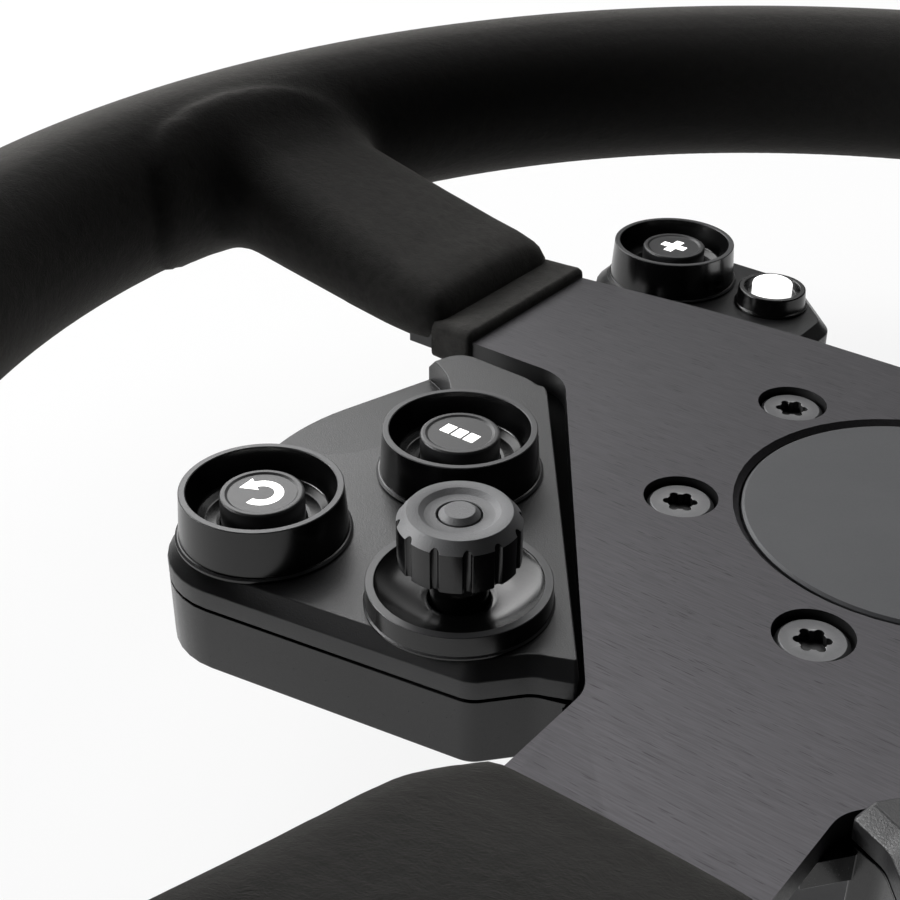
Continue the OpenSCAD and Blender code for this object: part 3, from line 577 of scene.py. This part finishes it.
def sleeveField(along, across, up, sleeve):
    # signed distance to one padded spoke sleeve: flat and soft, thicker towards the rim
    halfW = np.interp(along, sleeve["along"], sleeve["halfWidth"])
    middle = np.interp(along, sleeve["along"], sleeve["middle"])
    crown = 1.0 - np.clip(np.abs(across) / halfW, 0, 1) ** 2
    halfH = np.interp(along, sleeve["along"], sleeve["halfHeight"]) + grip["crown"] * crown
    corner = grip["cornerShare"] * halfH
    dy = np.abs(across) - halfW + corner
    dz = np.abs(up - middle) - halfH + corner
    dx = np.maximum(sleeve["start"] + sleeve["roll"] - along, 0) * corner / sleeve["roll"]
    far = np.maximum(along - grip["ringRadius"] + 10, 0)
    outside = np.sqrt(np.maximum(dy, 0) ** 2 + np.maximum(dz, 0) ** 2 + dx ** 2 + far ** 2)
    return outside + np.minimum(np.maximum(dy, dz), 0) - corner


def softMin(a, b, k):
    h = np.clip(0.5 + 0.5 * (b - a) / k, 0, 1)
    return b + (a - b) * h - k * h * (1 - h)


def gripField(p):
    g = grip
    x, y, z = p[:, 0], p[:, 1], p[:, 2]
    radius = np.sqrt(x * x + y * y)
    tube = np.sqrt((radius - g["ringRadius"]) ** 2 + (z - g["ringHeight"]) ** 2)
    side = sleeveField(np.abs(x), y - sideSleeve["offset"], z, sideSleeve)
    low = sleeveField(-y, x, z, lowSleeve)
    field = softMin(tube - g["section"], np.minimum(side, low), g["blend"])
    t = tongueShape
    for middle, spread, where, there in ((t["sideMiddle"], t["sideSpread"], y, np.abs(x) > t["past"]),
                                         (0.0, t["lowSpread"], x, y < -t["past"])):
        outward = np.maximum(radius - t["start"], 0) / t["reach"]
        oval = (np.sqrt(outward ** 2 + ((where - middle) / spread) ** 2) - 1) * t["reach"] * t["steep"]
        tongue = -softMin(-(tube - g["section"] - g["edge"]), -oval, t["round"])
        field = np.where(there, softMin(field, tongue, t["join"]), field)
    return field


def buildGrip():
    g = grip
    bm = bmesh.new()
    # a coarse hull of the shape: torus and three slabs, joined by remeshing
    major, minor = g["around"], g["across"]
    ringVerts = []
    for i in range(major):
        a = 2 * math.pi * i / major
        row = []
        for j in range(minor):
            b = 2 * math.pi * j / minor
            r = g["ringRadius"] + g["section"] * math.cos(b)
            up = g["ringHeight"] + g["section"] * math.sin(b)
            row.append(bm.verts.new((r * math.cos(a), r * math.sin(a), up)))
        ringVerts.append(row)
    for i in range(major):
        for j in range(minor):
            n, m = (i + 1) % major, (j + 1) % minor
            bm.faces.new((ringVerts[i][j], ringVerts[n][j], ringVerts[n][m], ringVerts[i][m]))
    for turn, offset, sleeve in ((0, sideSleeve["offset"], sideSleeve), (180, -sideSleeve["offset"], sideSleeve),
                                 (-90, lowSleeve["offset"], lowSleeve)):
        spin = Matrix.Rotation(math.radians(turn), 4, "Z")
        rows = []
        for x in np.linspace(sleeve["start"] + 0.6, g["ringRadius"] - 6, g["slices"]):
            halfW, halfH, middle = (np.interp(x, sleeve["along"], sleeve[key])
                                    for key in ("halfWidth", "halfHeight", "middle"))
            rows.append([bm.verts.new(spin @ Vector((x, offset + s * (halfW - 1), middle + u * (halfH - 0.6))))
                         for s, u in ((-1, -1), (1, -1), (1, 1), (-1, 1))])
        for a, b in zip(rows, rows[1:]):
            for k in range(4):
                n = (k + 1) % 4
                bm.faces.new((a[k], b[k], b[n], a[n]))
        bm.faces.new(rows[0])
        bm.faces.new(list(reversed(rows[-1])))
    bmesh.ops.recalc_face_normals(bm, faces=bm.faces)
    mesh = bpy.data.meshes.new("gripDraft")
    bm.to_mesh(mesh)
    bm.free()
    draft = newObject("gripDraft", mesh)
    remesh = draft.modifiers.new("join", "REMESH")
    remesh.mode = "VOXEL"
    remesh.voxel_size = g["cell"]
    joined = draft.evaluated_get(bpy.context.evaluated_depsgraph_get())
    shaped = bpy.data.meshes.new_from_object(joined)
    bpy.data.objects.remove(draft)
    points = np.empty(len(shaped.vertices) * 3)
    shaped.vertices.foreach_get("co", points)
    points = points.reshape(-1, 3)
    # draw the vertices onto the exact surface, down the slope of its distance field
    step = fit["step"]
    for _ in range(fit["passes"]):
        here = gripField(points)
        slope = np.stack([(gripField(points + np.eye(3)[k] * step) - here) / step for k in range(3)], 1)
        size = np.maximum((slope ** 2).sum(1), 0.05)
        points -= slope * (np.clip(here, -fit["reach"], fit["reach"]) / size)[:, None] * fit["ease"]
    shaped.vertices.foreach_set("co", (points * mm).ravel())
    shaped.update()
    piece = addPiece("rimGrip", shaped, "wheel", looks["suede"], ["rim_grip"])
    smooth = piece.modifiers.new("relax", "SMOOTH")
    smooth.factor = g["relax"]
    smooth.iterations = 2
    smoothAll(shaped)


buildGrip()
print("grip built")


hem = {"halfWidth": 17.9, "lip": 0.9, "halfPlate": 2.0, "rise": 1.7, "corner": 1.6, "facet": 1.2,
       "start": 84.0, "offset": 19.0,
       "rows": ((0.0, 0.45), (0.35, 0.95), (1.0, 1.08), (3.6, 1.0), (6.2, 0.95), (8.4, 0.9))}  # (distance, swell)


def buildHem(name, turn, offset):
    # folded end of the sleeve: a flat band with a rolled lip
    h = hem
    spin = Matrix.Rotation(math.radians(turn), 4, "Z")
    bm = bmesh.new()
    rows = []
    for x, swell in h["rows"]:
        up = h["halfPlate"] + h["rise"] * swell
        side = h["halfWidth"] - h["lip"] + h["lip"] * swell
        ring = []
        for sx, sz, a0 in ((1, -1, -90), (1, 1, 0), (-1, 1, 90), (-1, -1, 180)):
            for k in range(5):
                a = math.radians(a0 + 90 * k / 4)
                ring.append((sx * (side - h["corner"]) + h["corner"] * math.cos(a),
                             sz * (up - h["corner"]) + h["corner"] * math.sin(a)))
        if not rows:
            splits = [max(1, int(math.dist(p, ring[(i + 1) % len(ring)]) / h["facet"]))
                      for i, p in enumerate(ring)]
        line = []
        for i, p in enumerate(ring):
            q = ring[(i + 1) % len(ring)]
            line += [(p[0] + (q[0] - p[0]) * k / splits[i], p[1] + (q[1] - p[1]) * k / splits[i])
                     for k in range(splits[i])]
        middle = plateFace - h["halfPlate"]
        rows.append([bm.verts.new(spin @ Vector((h["start"] + x, offset + a, middle + b)) * mm) for a, b in line])
    for a, b in zip(rows, rows[1:]):
        for k in range(len(a)):
            n = (k + 1) % len(a)
            bm.faces.new((a[k], b[k], b[n], a[n]))
    bm.faces.new(rows[0])
    bm.faces.new(list(reversed(rows[-1])))
    bmesh.ops.recalc_face_normals(bm, faces=bm.faces)
    mesh = bpy.data.meshes.new(name)
    bm.to_mesh(mesh)
    bm.free()
    smoothAll(mesh, 50)
    # painted light: the hem uses the brighter suede
    addPiece(name, mesh, "wheel", looks["fold"], ["rim_grip"])


buildHem("hemLeft", 180, -hem["offset"])
buildHem("hemRight", 0, hem["offset"])
print("hems built")


collarShape = {"base": 12.4, "rim": 11.4, "height": 7.5, "bore": 6.05}
buttonShape = {"radius": 5.9, "top": 6.6, "dish": 0.22, "stem": 2.5, "foot": -9.6, "under": 1.9}
collarSpots = {
    "lower_left_outer": (-69.9, -64.0, lowTop), "lower_left_inner": (-58.3, -34.5, lowTop),
    "lower_right_outer": (69.9, -64.0, lowTop), "lower_right_inner": (58.3, -34.5, lowTop),
    "upper_left": (-75.6, 55.3, upTop), "upper_right": (75.6, 55.3, upTop),
}


def nameOf(*words):
    parts = "_".join(words).split("_")
    return parts[0] + "".join(p.capitalize() for p in parts[1:])


def highlightRing(spot, inner, outer, height, slack=0.5):
    # picks the flat ring on top of a turned piece, which takes a painted highlight
    def test(at, normal):
        r = math.hypot(at.x - spot[0], at.y - spot[1])
        return inner < r < outer and abs(at.z - spot[2] - height) < slack
    return test


def buildCollar(place, spot):
    c = collarShape
    b, r, h, g = c["base"], c["rim"], c["height"], c["bore"]
    foot = [(g, 0.0), (g, 0.02), (b, 0.0, 0.06), (b, 0.42, 0.05), (b - 0.28, 0.66, 0.05), (b - 0.5, 0.7, 0.06)]
    lip = [(r, h - 0.1, 0.06), (r - 0.12, h, 0.05), (r - 0.88, h, 0.05), (r - 1.0, h - 0.12, 0.06)]
    well = [(r - 2.0, 3.1, 0.8), (r - 3.2, 2.35, 0.5), (g + 0.5, 2.3, 0.1), (g, 2.2, 0.1), (g, 0.0)]
    piece = addPiece(nameOf("collar", place), lathe(foot + lip + well, spot, 160, 4), "wheel",
                     looks["collar"], ["collar_" + place])
    # painted highlight on the top rim and on a ring of the foot
    tint(piece, looks["rimHighlight"], highlightRing(spot, r - 1.02, r + 0.02, h, 0.13))
    tint(piece, looks["rimHighlight"], highlightRing(spot, b - 0.3, b + 0.02, 0.55, 0.14))


def buildButton(place, spot):
    b = buttonShape
    r, t, face = b["radius"], b["top"], b["top"] - b["dish"]
    profile = [(0, b["foot"]), (b["stem"], b["foot"], 0.2), (b["stem"], b["under"], 0.1), (r, b["under"], 0.1),
               (r, t, 0.4), (r - 0.8, t, 0.15), (r - 1.15, face, 0.1), (0, face)]
    node = "button_" + place
    addPiece(nameOf("button", place), lathe(profile, spot, 128, 5), node, looks["button"], [node])


for place, spot in collarSpots.items():
    buildCollar(place, spot)
    buildButton(place, spot)


def flatShape(name, outline, spot, height, body, turn, material, thickness=0.06):
    # a thin printed or lit mark on a button
    bm = bmesh.new()
    spin = Matrix.Rotation(math.radians(turn), 2)
    for part in outline:
        pts = [spin @ Vector(p) for p in part]
        top, low = ([bm.verts.new(((spot[0] + p.x) * mm, (spot[1] + p.y) * mm, (spot[2] + height + lift) * mm))
                     for p in pts] for lift in (thickness, 0))
        bm.faces.new(top)
        bm.faces.new(list(reversed(low)))
        for k in range(len(pts)):
            n = (k + 1) % len(pts)
            bm.faces.new((top[k], low[k], low[n], top[n]))
    bmesh.ops.recalc_face_normals(bm, faces=bm.faces)
    mesh = bpy.data.meshes.new(name)
    bm.to_mesh(mesh)
    bm.free()
    addPiece(name, mesh, body, material)


def arcBand(inner, outer, start, end, steps=28):
    def arc(radius, first, last):
        angles = [math.radians(first + (last - first) * k / steps) for k in range(steps + 1)]
        return [(radius * math.cos(a), radius * math.sin(a)) for a in angles]
    return arc(outer, start, end) + arc(inner, end, start)


def bar(x0, y0, x1, y1):
    return [(x0, y0), (x1, y0), (x1, y1), (x0, y1)]


marks = {
    "turnArrow": [arcBand(1.75, 3.05, -150, 112), [(-0.2, 4.0), (-2.5, 2.45), (-0.2, 0.95)]],
    "bars": [bar(-3.0, -1.1, -1.3, 1.1), bar(-0.85, -1.1, 0.85, 1.1), bar(1.3, -1.1, 3.0, 1.1)],
    "plus": [bar(-2.5, -0.8, 2.5, 0.8), bar(-0.8, 0.82, 0.8, 2.5), bar(-0.8, -2.5, 0.8, -0.82)],
}
markPlan = {
    "lower_left_outer": ("turnArrow", 60), "lower_left_inner": ("bars", 0),
    "lower_right_outer": ("turnArrow", 120), "lower_right_inner": ("bars", 0),
    "upper_left": ("plus", 0), "upper_right": ("plus", 0),
}
for place, (mark, turn) in markPlan.items():
    flatShape(nameOf("mark", place), marks[mark], collarSpots[place], buttonShape["top"] - buttonShape["dish"],
              "button_" + place, turn, looks["lit"])

smallSpots = {"upper_left": (-54.6, 56.4, upTop), "upper_right": (54.6, 56.4, upTop)}
smallShape = {
    "ring": [(3.85, 0), (3.85, 0.02), (6.8, 0, 0.1), (6.8, 0.55, 0.15), (6.45, 0.7, 0.1), (6.2, 3.6, 0.3),
             (5.2, 3.6, 0.3), (4.5, 2.3, 0.3), (3.85, 2.2, 0.1), (3.85, 0)],
    "cap": [(0, -9.6), (1.5, -9.6, 0.1), (1.5, 1.9, 0.1), (3.7, 1.9, 0.1), (3.7, 4.4, 0.5), (3.0, 4.8, 0.6), (0, 4.9)],
}
for place, spot in smallSpots.items():
    addPiece(nameOf("smallCollar", place), lathe(smallShape["ring"], spot, 96), "wheel", looks["collar"],
             ["small_collar_" + place])
    node = "small_button_" + place
    addPiece(nameOf("smallButton", place), lathe(smallShape["cap"], spot, 96), node, looks["litCap"],
             [node])
print("buttons built")


stick = {
    "spot": (38.9, -59.6), "pivot": 1.6,
    "dish": 12.6, "dishRim": 12.3, "band": 1.1, "dishHeight": 3.35, "bowlStep": 0.12, "bowlLow": 0.75, "hole": 4.25,
    "ball": 3.89, "stem": 2.0, "neck": 2.4, "stemFoot": -11.4, "neckTop": 7.85, "bore": 1.25,
    "knobBase": 6.95, "knobHeight": 7.2, "knobRadius": 8.1, "topRadius": 6.85, "bevel": 1.5,
    "flutes": 12, "fluteRadius": 0.64, "fluteIn": 0.16, "pointsPerFlute": 48, "crowding": 0.55,
    "groove": (5.23, 4.56, 0.6),  # outer and inner radius, depth
    "centre": (2.7, 2.0, 0.64),  # lower and upper radius, rise
    "edge": 0.08, "socketRadius": 2.9, "socketDeep": 3.5, "spindle": 1.15, "spindleFoot": -9.6,
}


def knobMesh(centre):
    # flutes are round grooves cut in a plain cylinder; the bevel's cone runs over their tops
    s = stick
    total = s["flutes"] * s["pointsPerFlute"]
    top, start = s["knobHeight"], s["knobHeight"] - s["bevel"]
    spread = 2 * math.pi / s["flutes"]
    angles = np.arange(total) * 2 * math.pi / total
    # crowd the points round the flutes' edges
    angles = angles + s["crowding"] * np.sin(angles * s["flutes"]) / s["flutes"]
    fromFlute = (angles % spread) - spread / 2
    centreR = s["knobRadius"] + s["fluteIn"]
    side = centreR * np.sin(fromFlute)
    chord = np.sqrt(np.maximum(s["fluteRadius"] ** 2 - side ** 2, 0))
    cut = np.where(np.abs(side) < s["fluteRadius"], centreR * np.cos(fromFlute) - chord, 99)
    deepest = s["knobRadius"] - (s["fluteRadius"] - s["fluteIn"])
    verts, faces = [], []

    def addRow(radii, z):
        verts.extend(((centre[0] + r * math.cos(a)) * mm, (centre[1] + r * math.sin(a)) * mm, (centre[2] + z) * mm)
                     for r, a in zip(radii, angles))

    def joinRows(low, high):
        for k in range(total):
            n = (k + 1) % total
            faces.append((low + k, low + n, high + n, high + k))

    def addSteps(steps, last, inward):
        for r, z in steps:
            here = len(verts)
            addRow(np.full(total, r), z)
            joinRows(*((last, here) if inward else (here, last)))
            last = here
        return last

    lean = (s["knobRadius"] - s["topRadius"]) / s["bevel"]
    reachUp = (s["knobRadius"] - deepest) / lean
    heights = [0, s["edge"], 0.12, 2, 4, start - 0.04, start]
    heights += [start + reachUp * k / 8 for k in range(1, 9)]
    heights += [start + reachUp + 0.3, top - 0.1, top - 0.04, top]
    for z in heights:
        rounding = s["edge"] * max(0.0, 1 - z / s["edge"])
        body = s["knobRadius"] - lean * max(0.0, z - start) - rounding
        if z == top:
            body -= 0.03
        addRow(np.minimum(body, cut - rounding), z)
    for i in range(len(heights) - 1):
        joinRows(i * total, (i + 1) * total)
    outer, inner, deep = s["groove"]
    floor, gap = top - deep, s["centre"][0] + 0.3
    overTop = ((s["topRadius"] - 0.1, top), (outer + 0.05, top), (outer, top - 0.02), (inner, floor + 0.02),
               (inner - 0.05, floor), (gap + 0.1, floor), (gap, floor - 0.06), (gap, top - 1.9),
               (s["bore"], top - 1.95))
    socket = s["socketRadius"]
    underneath = ((7.0, 0.0), (socket + 0.2, 0.0), (socket, 0.15), (socket, s["socketDeep"]),
                  (s["bore"], s["socketDeep"]))
    upper = addSteps(overTop, (len(heights) - 1) * total, True)
    joinRows(upper, addSteps(underneath, 0, False))
    mesh = bpy.data.meshes.new("knob")
    mesh.from_pydata(verts, [], faces)
    finishMesh(mesh, 24)
    return mesh


def buildDish(hand, spot):
    s = stick
    d, rim, h, hole = s["dish"], s["dishRim"], s["dishHeight"], s["hole"]
    inside = rim - s["band"]
    edge = inside - s["bowlStep"]
    bowl = []
    for i in range(13):
        u = edge - (edge - hole - 0.3) * i / 12
        bowl.append((u, s["bowlLow"] + (h - 1.0) * ((u - hole) / (edge - hole)) ** 2.2))
    outside = [(hole, 0), (hole, 0.02), (d, 0, 0.05), (d, 0.3, 0.06), (d - 0.2, 0.5, 0.05), (rim, h - 0.08, 0.05),
               (rim - 0.08, h, 0.03), (inside, h, 0.03), (inside - 0.1, h - 0.22)]
    mesh = lathe(outside + bowl + [(hole, 0.55), (hole, 0)], spot, 192, 4)
    dish = addPiece(nameOf("joystickDish", hand), mesh, "wheel", looks["collar"], ["joystick_dish_" + hand])
    # painted highlight on the dish's rim and on a ring of its foot
    tint(dish, looks["rimHighlight"], highlightRing(spot, inside - 0.02, rim + 0.02, h, 0.1))
    tint(dish, looks["rimHighlight"], highlightRing(spot, d - 0.22, d + 0.02, 0.4, 0.14))


def buildStem(hand, spot):
    # plain rod, ball and neck with a bore for the spindle
    s = stick
    foot, top, bore = s["stemFoot"], s["neckTop"], s["bore"]
    profile = [(bore, foot), (bore + 0.01, foot), (s["stem"], foot, 0.2), (s["stem"], -3.3)]
    for degrees in range(-58, 52, 5):
        a = math.radians(degrees)
        profile.append((s["ball"] * math.cos(a), s["ball"] * math.sin(a)))
    profile += [(s["neck"], 3.2), (s["neck"], top - 0.05, 0.1), (bore, top), (bore, foot)]
    pivot = (spot[0], spot[1], spot[2] + s["pivot"])
    node = "joystick_stem_" + hand
    addPiece(nameOf("joystickStem", hand), lathe(profile, pivot, 96), node, looks["ball"], [node])


def buildKnob(hand, spot):
    s = stick
    knobSpot = (spot[0], spot[1], spot[2] + s["knobBase"])
    node = "joystick_knob_" + hand
    knob = addPiece(nameOf("joystickKnob", hand), knobMesh(knobSpot), node, looks["knob"], [node])
    landTop = knobSpot[2] + s["knobHeight"] - s["bevel"]
    landRadius = s["topRadius"] - 0.2

    def isLand(at, normal):
        r = math.hypot(at.x - spot[0], at.y - spot[1])
        return r > landRadius and (at.z < landTop or abs(normal.z) < 0.3)
    tint(knob, looks["land"], isLand)
    ring = s["centre"][0]
    grooveFloor = s["knobHeight"] - s["groove"][2]
    # painted highlight on a thin ring round the raised centre
    tint(knob, looks["rimHighlight"], highlightRing(knobSpot, ring + 0.28, ring + 0.42, grooveFloor, 0.1))


def buildSpindle(hand, spot):
    # thin rod with the raised centre of the knob's top
    s = stick
    top = s["knobBase"] + s["knobHeight"]
    low, high, rise = s["centre"]
    rod, foot, seat = s["spindle"], s["spindleFoot"], top - s["groove"][2]
    profile = [(0, foot), (rod, foot, 0.1), (rod, top - 1.8, 0.05), (low - 0.05, top - 1.78, 0.05),
               (low, seat, 0.04), (high, seat + rise, 0.12), (0, seat + rise)]
    node = "joystick_spindle_" + hand
    addPiece(nameOf("joystickSpindle", hand), lathe(profile, spot, 96), node, looks["knob"], [node])


for hand, side in (("left", -1), ("right", 1)):
    spot = (stick["spot"][0] * side, stick["spot"][1], lowTop)
    buildDish(hand, spot)
    buildStem(hand, spot)
    buildKnob(hand, spot)
    buildSpindle(hand, spot)
print("joysticks built")


# floor and surround: white to the camera, toned by direction for reflections
floorLook = {"size": 6, "colour": (0.8, 0.8, 0.8, 1), "glow": 0.88, "glossyGlow": 0.6}
surround = {"towards": (-0.848, 0.530, 0), "facingFrom": 0.35, "facingTo": 1.0, "awayLight": 0.04, "facingLight": 1.12,
            "riseFrom": 0.36, "riseTo": 0.74, "lowLight": 1.1, "highLight": 0.1}
lamps = {"softLeft": ((-1.1, 0.35, 0.75), (0, 0, 0.05), (1.2, 0.9), 12),
         "softBack": ((-0.45, 0.7, 1.2), (0, 0, 0.05), (1.3, 0.7), 7),
         "fillLeft": ((-1.05, -0.75, 0.35), (0, 0, 0.03), (0.8, 0.5), 26)}  # place, aim, size, watts
view = {"sensor": 36, "lens": 61.66, "spot": (0.0600, -0.18767), "abovePlate": 124.59,
        "forward": (-0.52570, 0.67010, -0.52402), "right": (0.78618, 0.61799, 0.00156)}


def buildFloor():
    bpy.ops.mesh.primitive_plane_add(size=floorLook["size"], location=(0, 0, 0))
    floor = bpy.context.object
    floor.name = "studioFloor"
    material = bpy.data.materials.new("studioFloor")
    material.use_nodes = True
    tree = material.node_tree
    tree.nodes.clear()
    out = put(tree, "ShaderNodeOutputMaterial")
    diffuse = put(tree, "ShaderNodeBsdfDiffuse", {"Color": floorLook["colour"]})
    glow = put(tree, "ShaderNodeEmission", {"Color": (1, 1, 1, 1), "Strength": 1.0})
    path = put(tree, "ShaderNodeLightPath")
    direct = math2(tree, "MAXIMUM", path.outputs["Is Camera Ray"], path.outputs["Is Transmission Ray"])
    direct = math2(tree, "MULTIPLY", direct, floorLook["glow"])
    glossy = math2(tree, "MULTIPLY", path.outputs["Is Glossy Ray"], floorLook["glossyGlow"])
    seen = math2(tree, "MAXIMUM", direct, glossy)
    mix = put(tree, "ShaderNodeMixShader")
    wire(tree, (seen, mix.inputs[0]), (diffuse.outputs[0], mix.inputs[1]),
         (glow.outputs[0], mix.inputs[2]), (mix.outputs[0], out.inputs["Surface"]))
    floor.data.materials.append(material)


def buildWorld():
    world = bpy.data.worlds.new("studio")
    bpy.context.scene.world = world
    world.use_nodes = True
    tree = world.node_tree
    tree.nodes.clear()
    out = put(tree, "ShaderNodeOutputWorld")
    path = put(tree, "ShaderNodeLightPath")
    coord = put(tree, "ShaderNodeTexCoord")
    # reflections meet a surround that is bright low at the back left, dim overhead and to the right
    s = surround
    towards = put(tree, "ShaderNodeVectorMath", operation="DOT_PRODUCT")
    towards.inputs[1].default_value = s["towards"]
    split = put(tree, "ShaderNodeSeparateXYZ")
    wire(tree, (coord.outputs["Generated"], towards.inputs[0]), (coord.outputs["Generated"], split.inputs[0]))
    side = mapTo(tree, towards.outputs["Value"], s["awayLight"], s["facingLight"], s["facingFrom"], s["facingTo"])
    rise = mapTo(tree, split.outputs["Z"], s["lowLight"], s["highLight"], s["riseFrom"], s["riseTo"])
    shade = math2(tree, "MULTIPLY", side, rise)
    seen = math2(tree, "MAXIMUM", path.outputs["Is Camera Ray"], path.outputs["Is Transmission Ray"])
    backdrop = put(tree, "ShaderNodeBackground", {"Color": (1, 1, 1, 1), "Strength": 1.0})
    soft = put(tree, "ShaderNodeBackground", {"Color": (1, 1, 1, 1)})
    wire(tree, (shade, soft.inputs["Strength"]))
    mix = put(tree, "ShaderNodeMixShader")
    wire(tree, (seen, mix.inputs[0]), (soft.outputs[0], mix.inputs[1]), (backdrop.outputs[0], mix.inputs[2]),
         (mix.outputs[0], out.inputs["Surface"]))


def addLamp(name, place, aim, size, power):
    data = bpy.data.lights.new(name, "AREA")
    data.shape = "RECTANGLE"
    data.size, data.size_y = size
    data.energy = power
    lamp = bpy.data.objects.new(name, data)
    bpy.context.scene.collection.objects.link(lamp)
    lamp.location = place
    lamp.rotation_euler = (Vector(aim) - Vector(place)).to_track_quat("-Z", "Y").to_euler()


def buildCamera():
    data = bpy.data.cameras.new("camera")
    data.sensor_width = view["sensor"]
    data.lens = view["lens"]
    data.clip_start = 0.01
    data.clip_end = 50
    camera = newObject("camera", data)
    forward = Vector(view["forward"]).normalized()
    up = Vector(view["right"]).normalized().cross(forward).normalized()
    right = forward.cross(up)
    x, y = view["spot"]
    z = (view["abovePlate"] + plateFace) * mm
    camera.matrix_world = Matrix(((right.x, up.x, -forward.x, x), (right.y, up.y, -forward.y, y),
                                  (right.z, up.z, -forward.z, z), (0, 0, 0, 1)))
    bpy.context.scene.camera = camera


buildFloor()
buildWorld()
for name, (place, aim, size, power) in lamps.items():
    addLamp(name, place, aim, size, power)
buildCamera()
bpy.context.scene.view_settings.view_transform = "Standard"
print("studio ready")
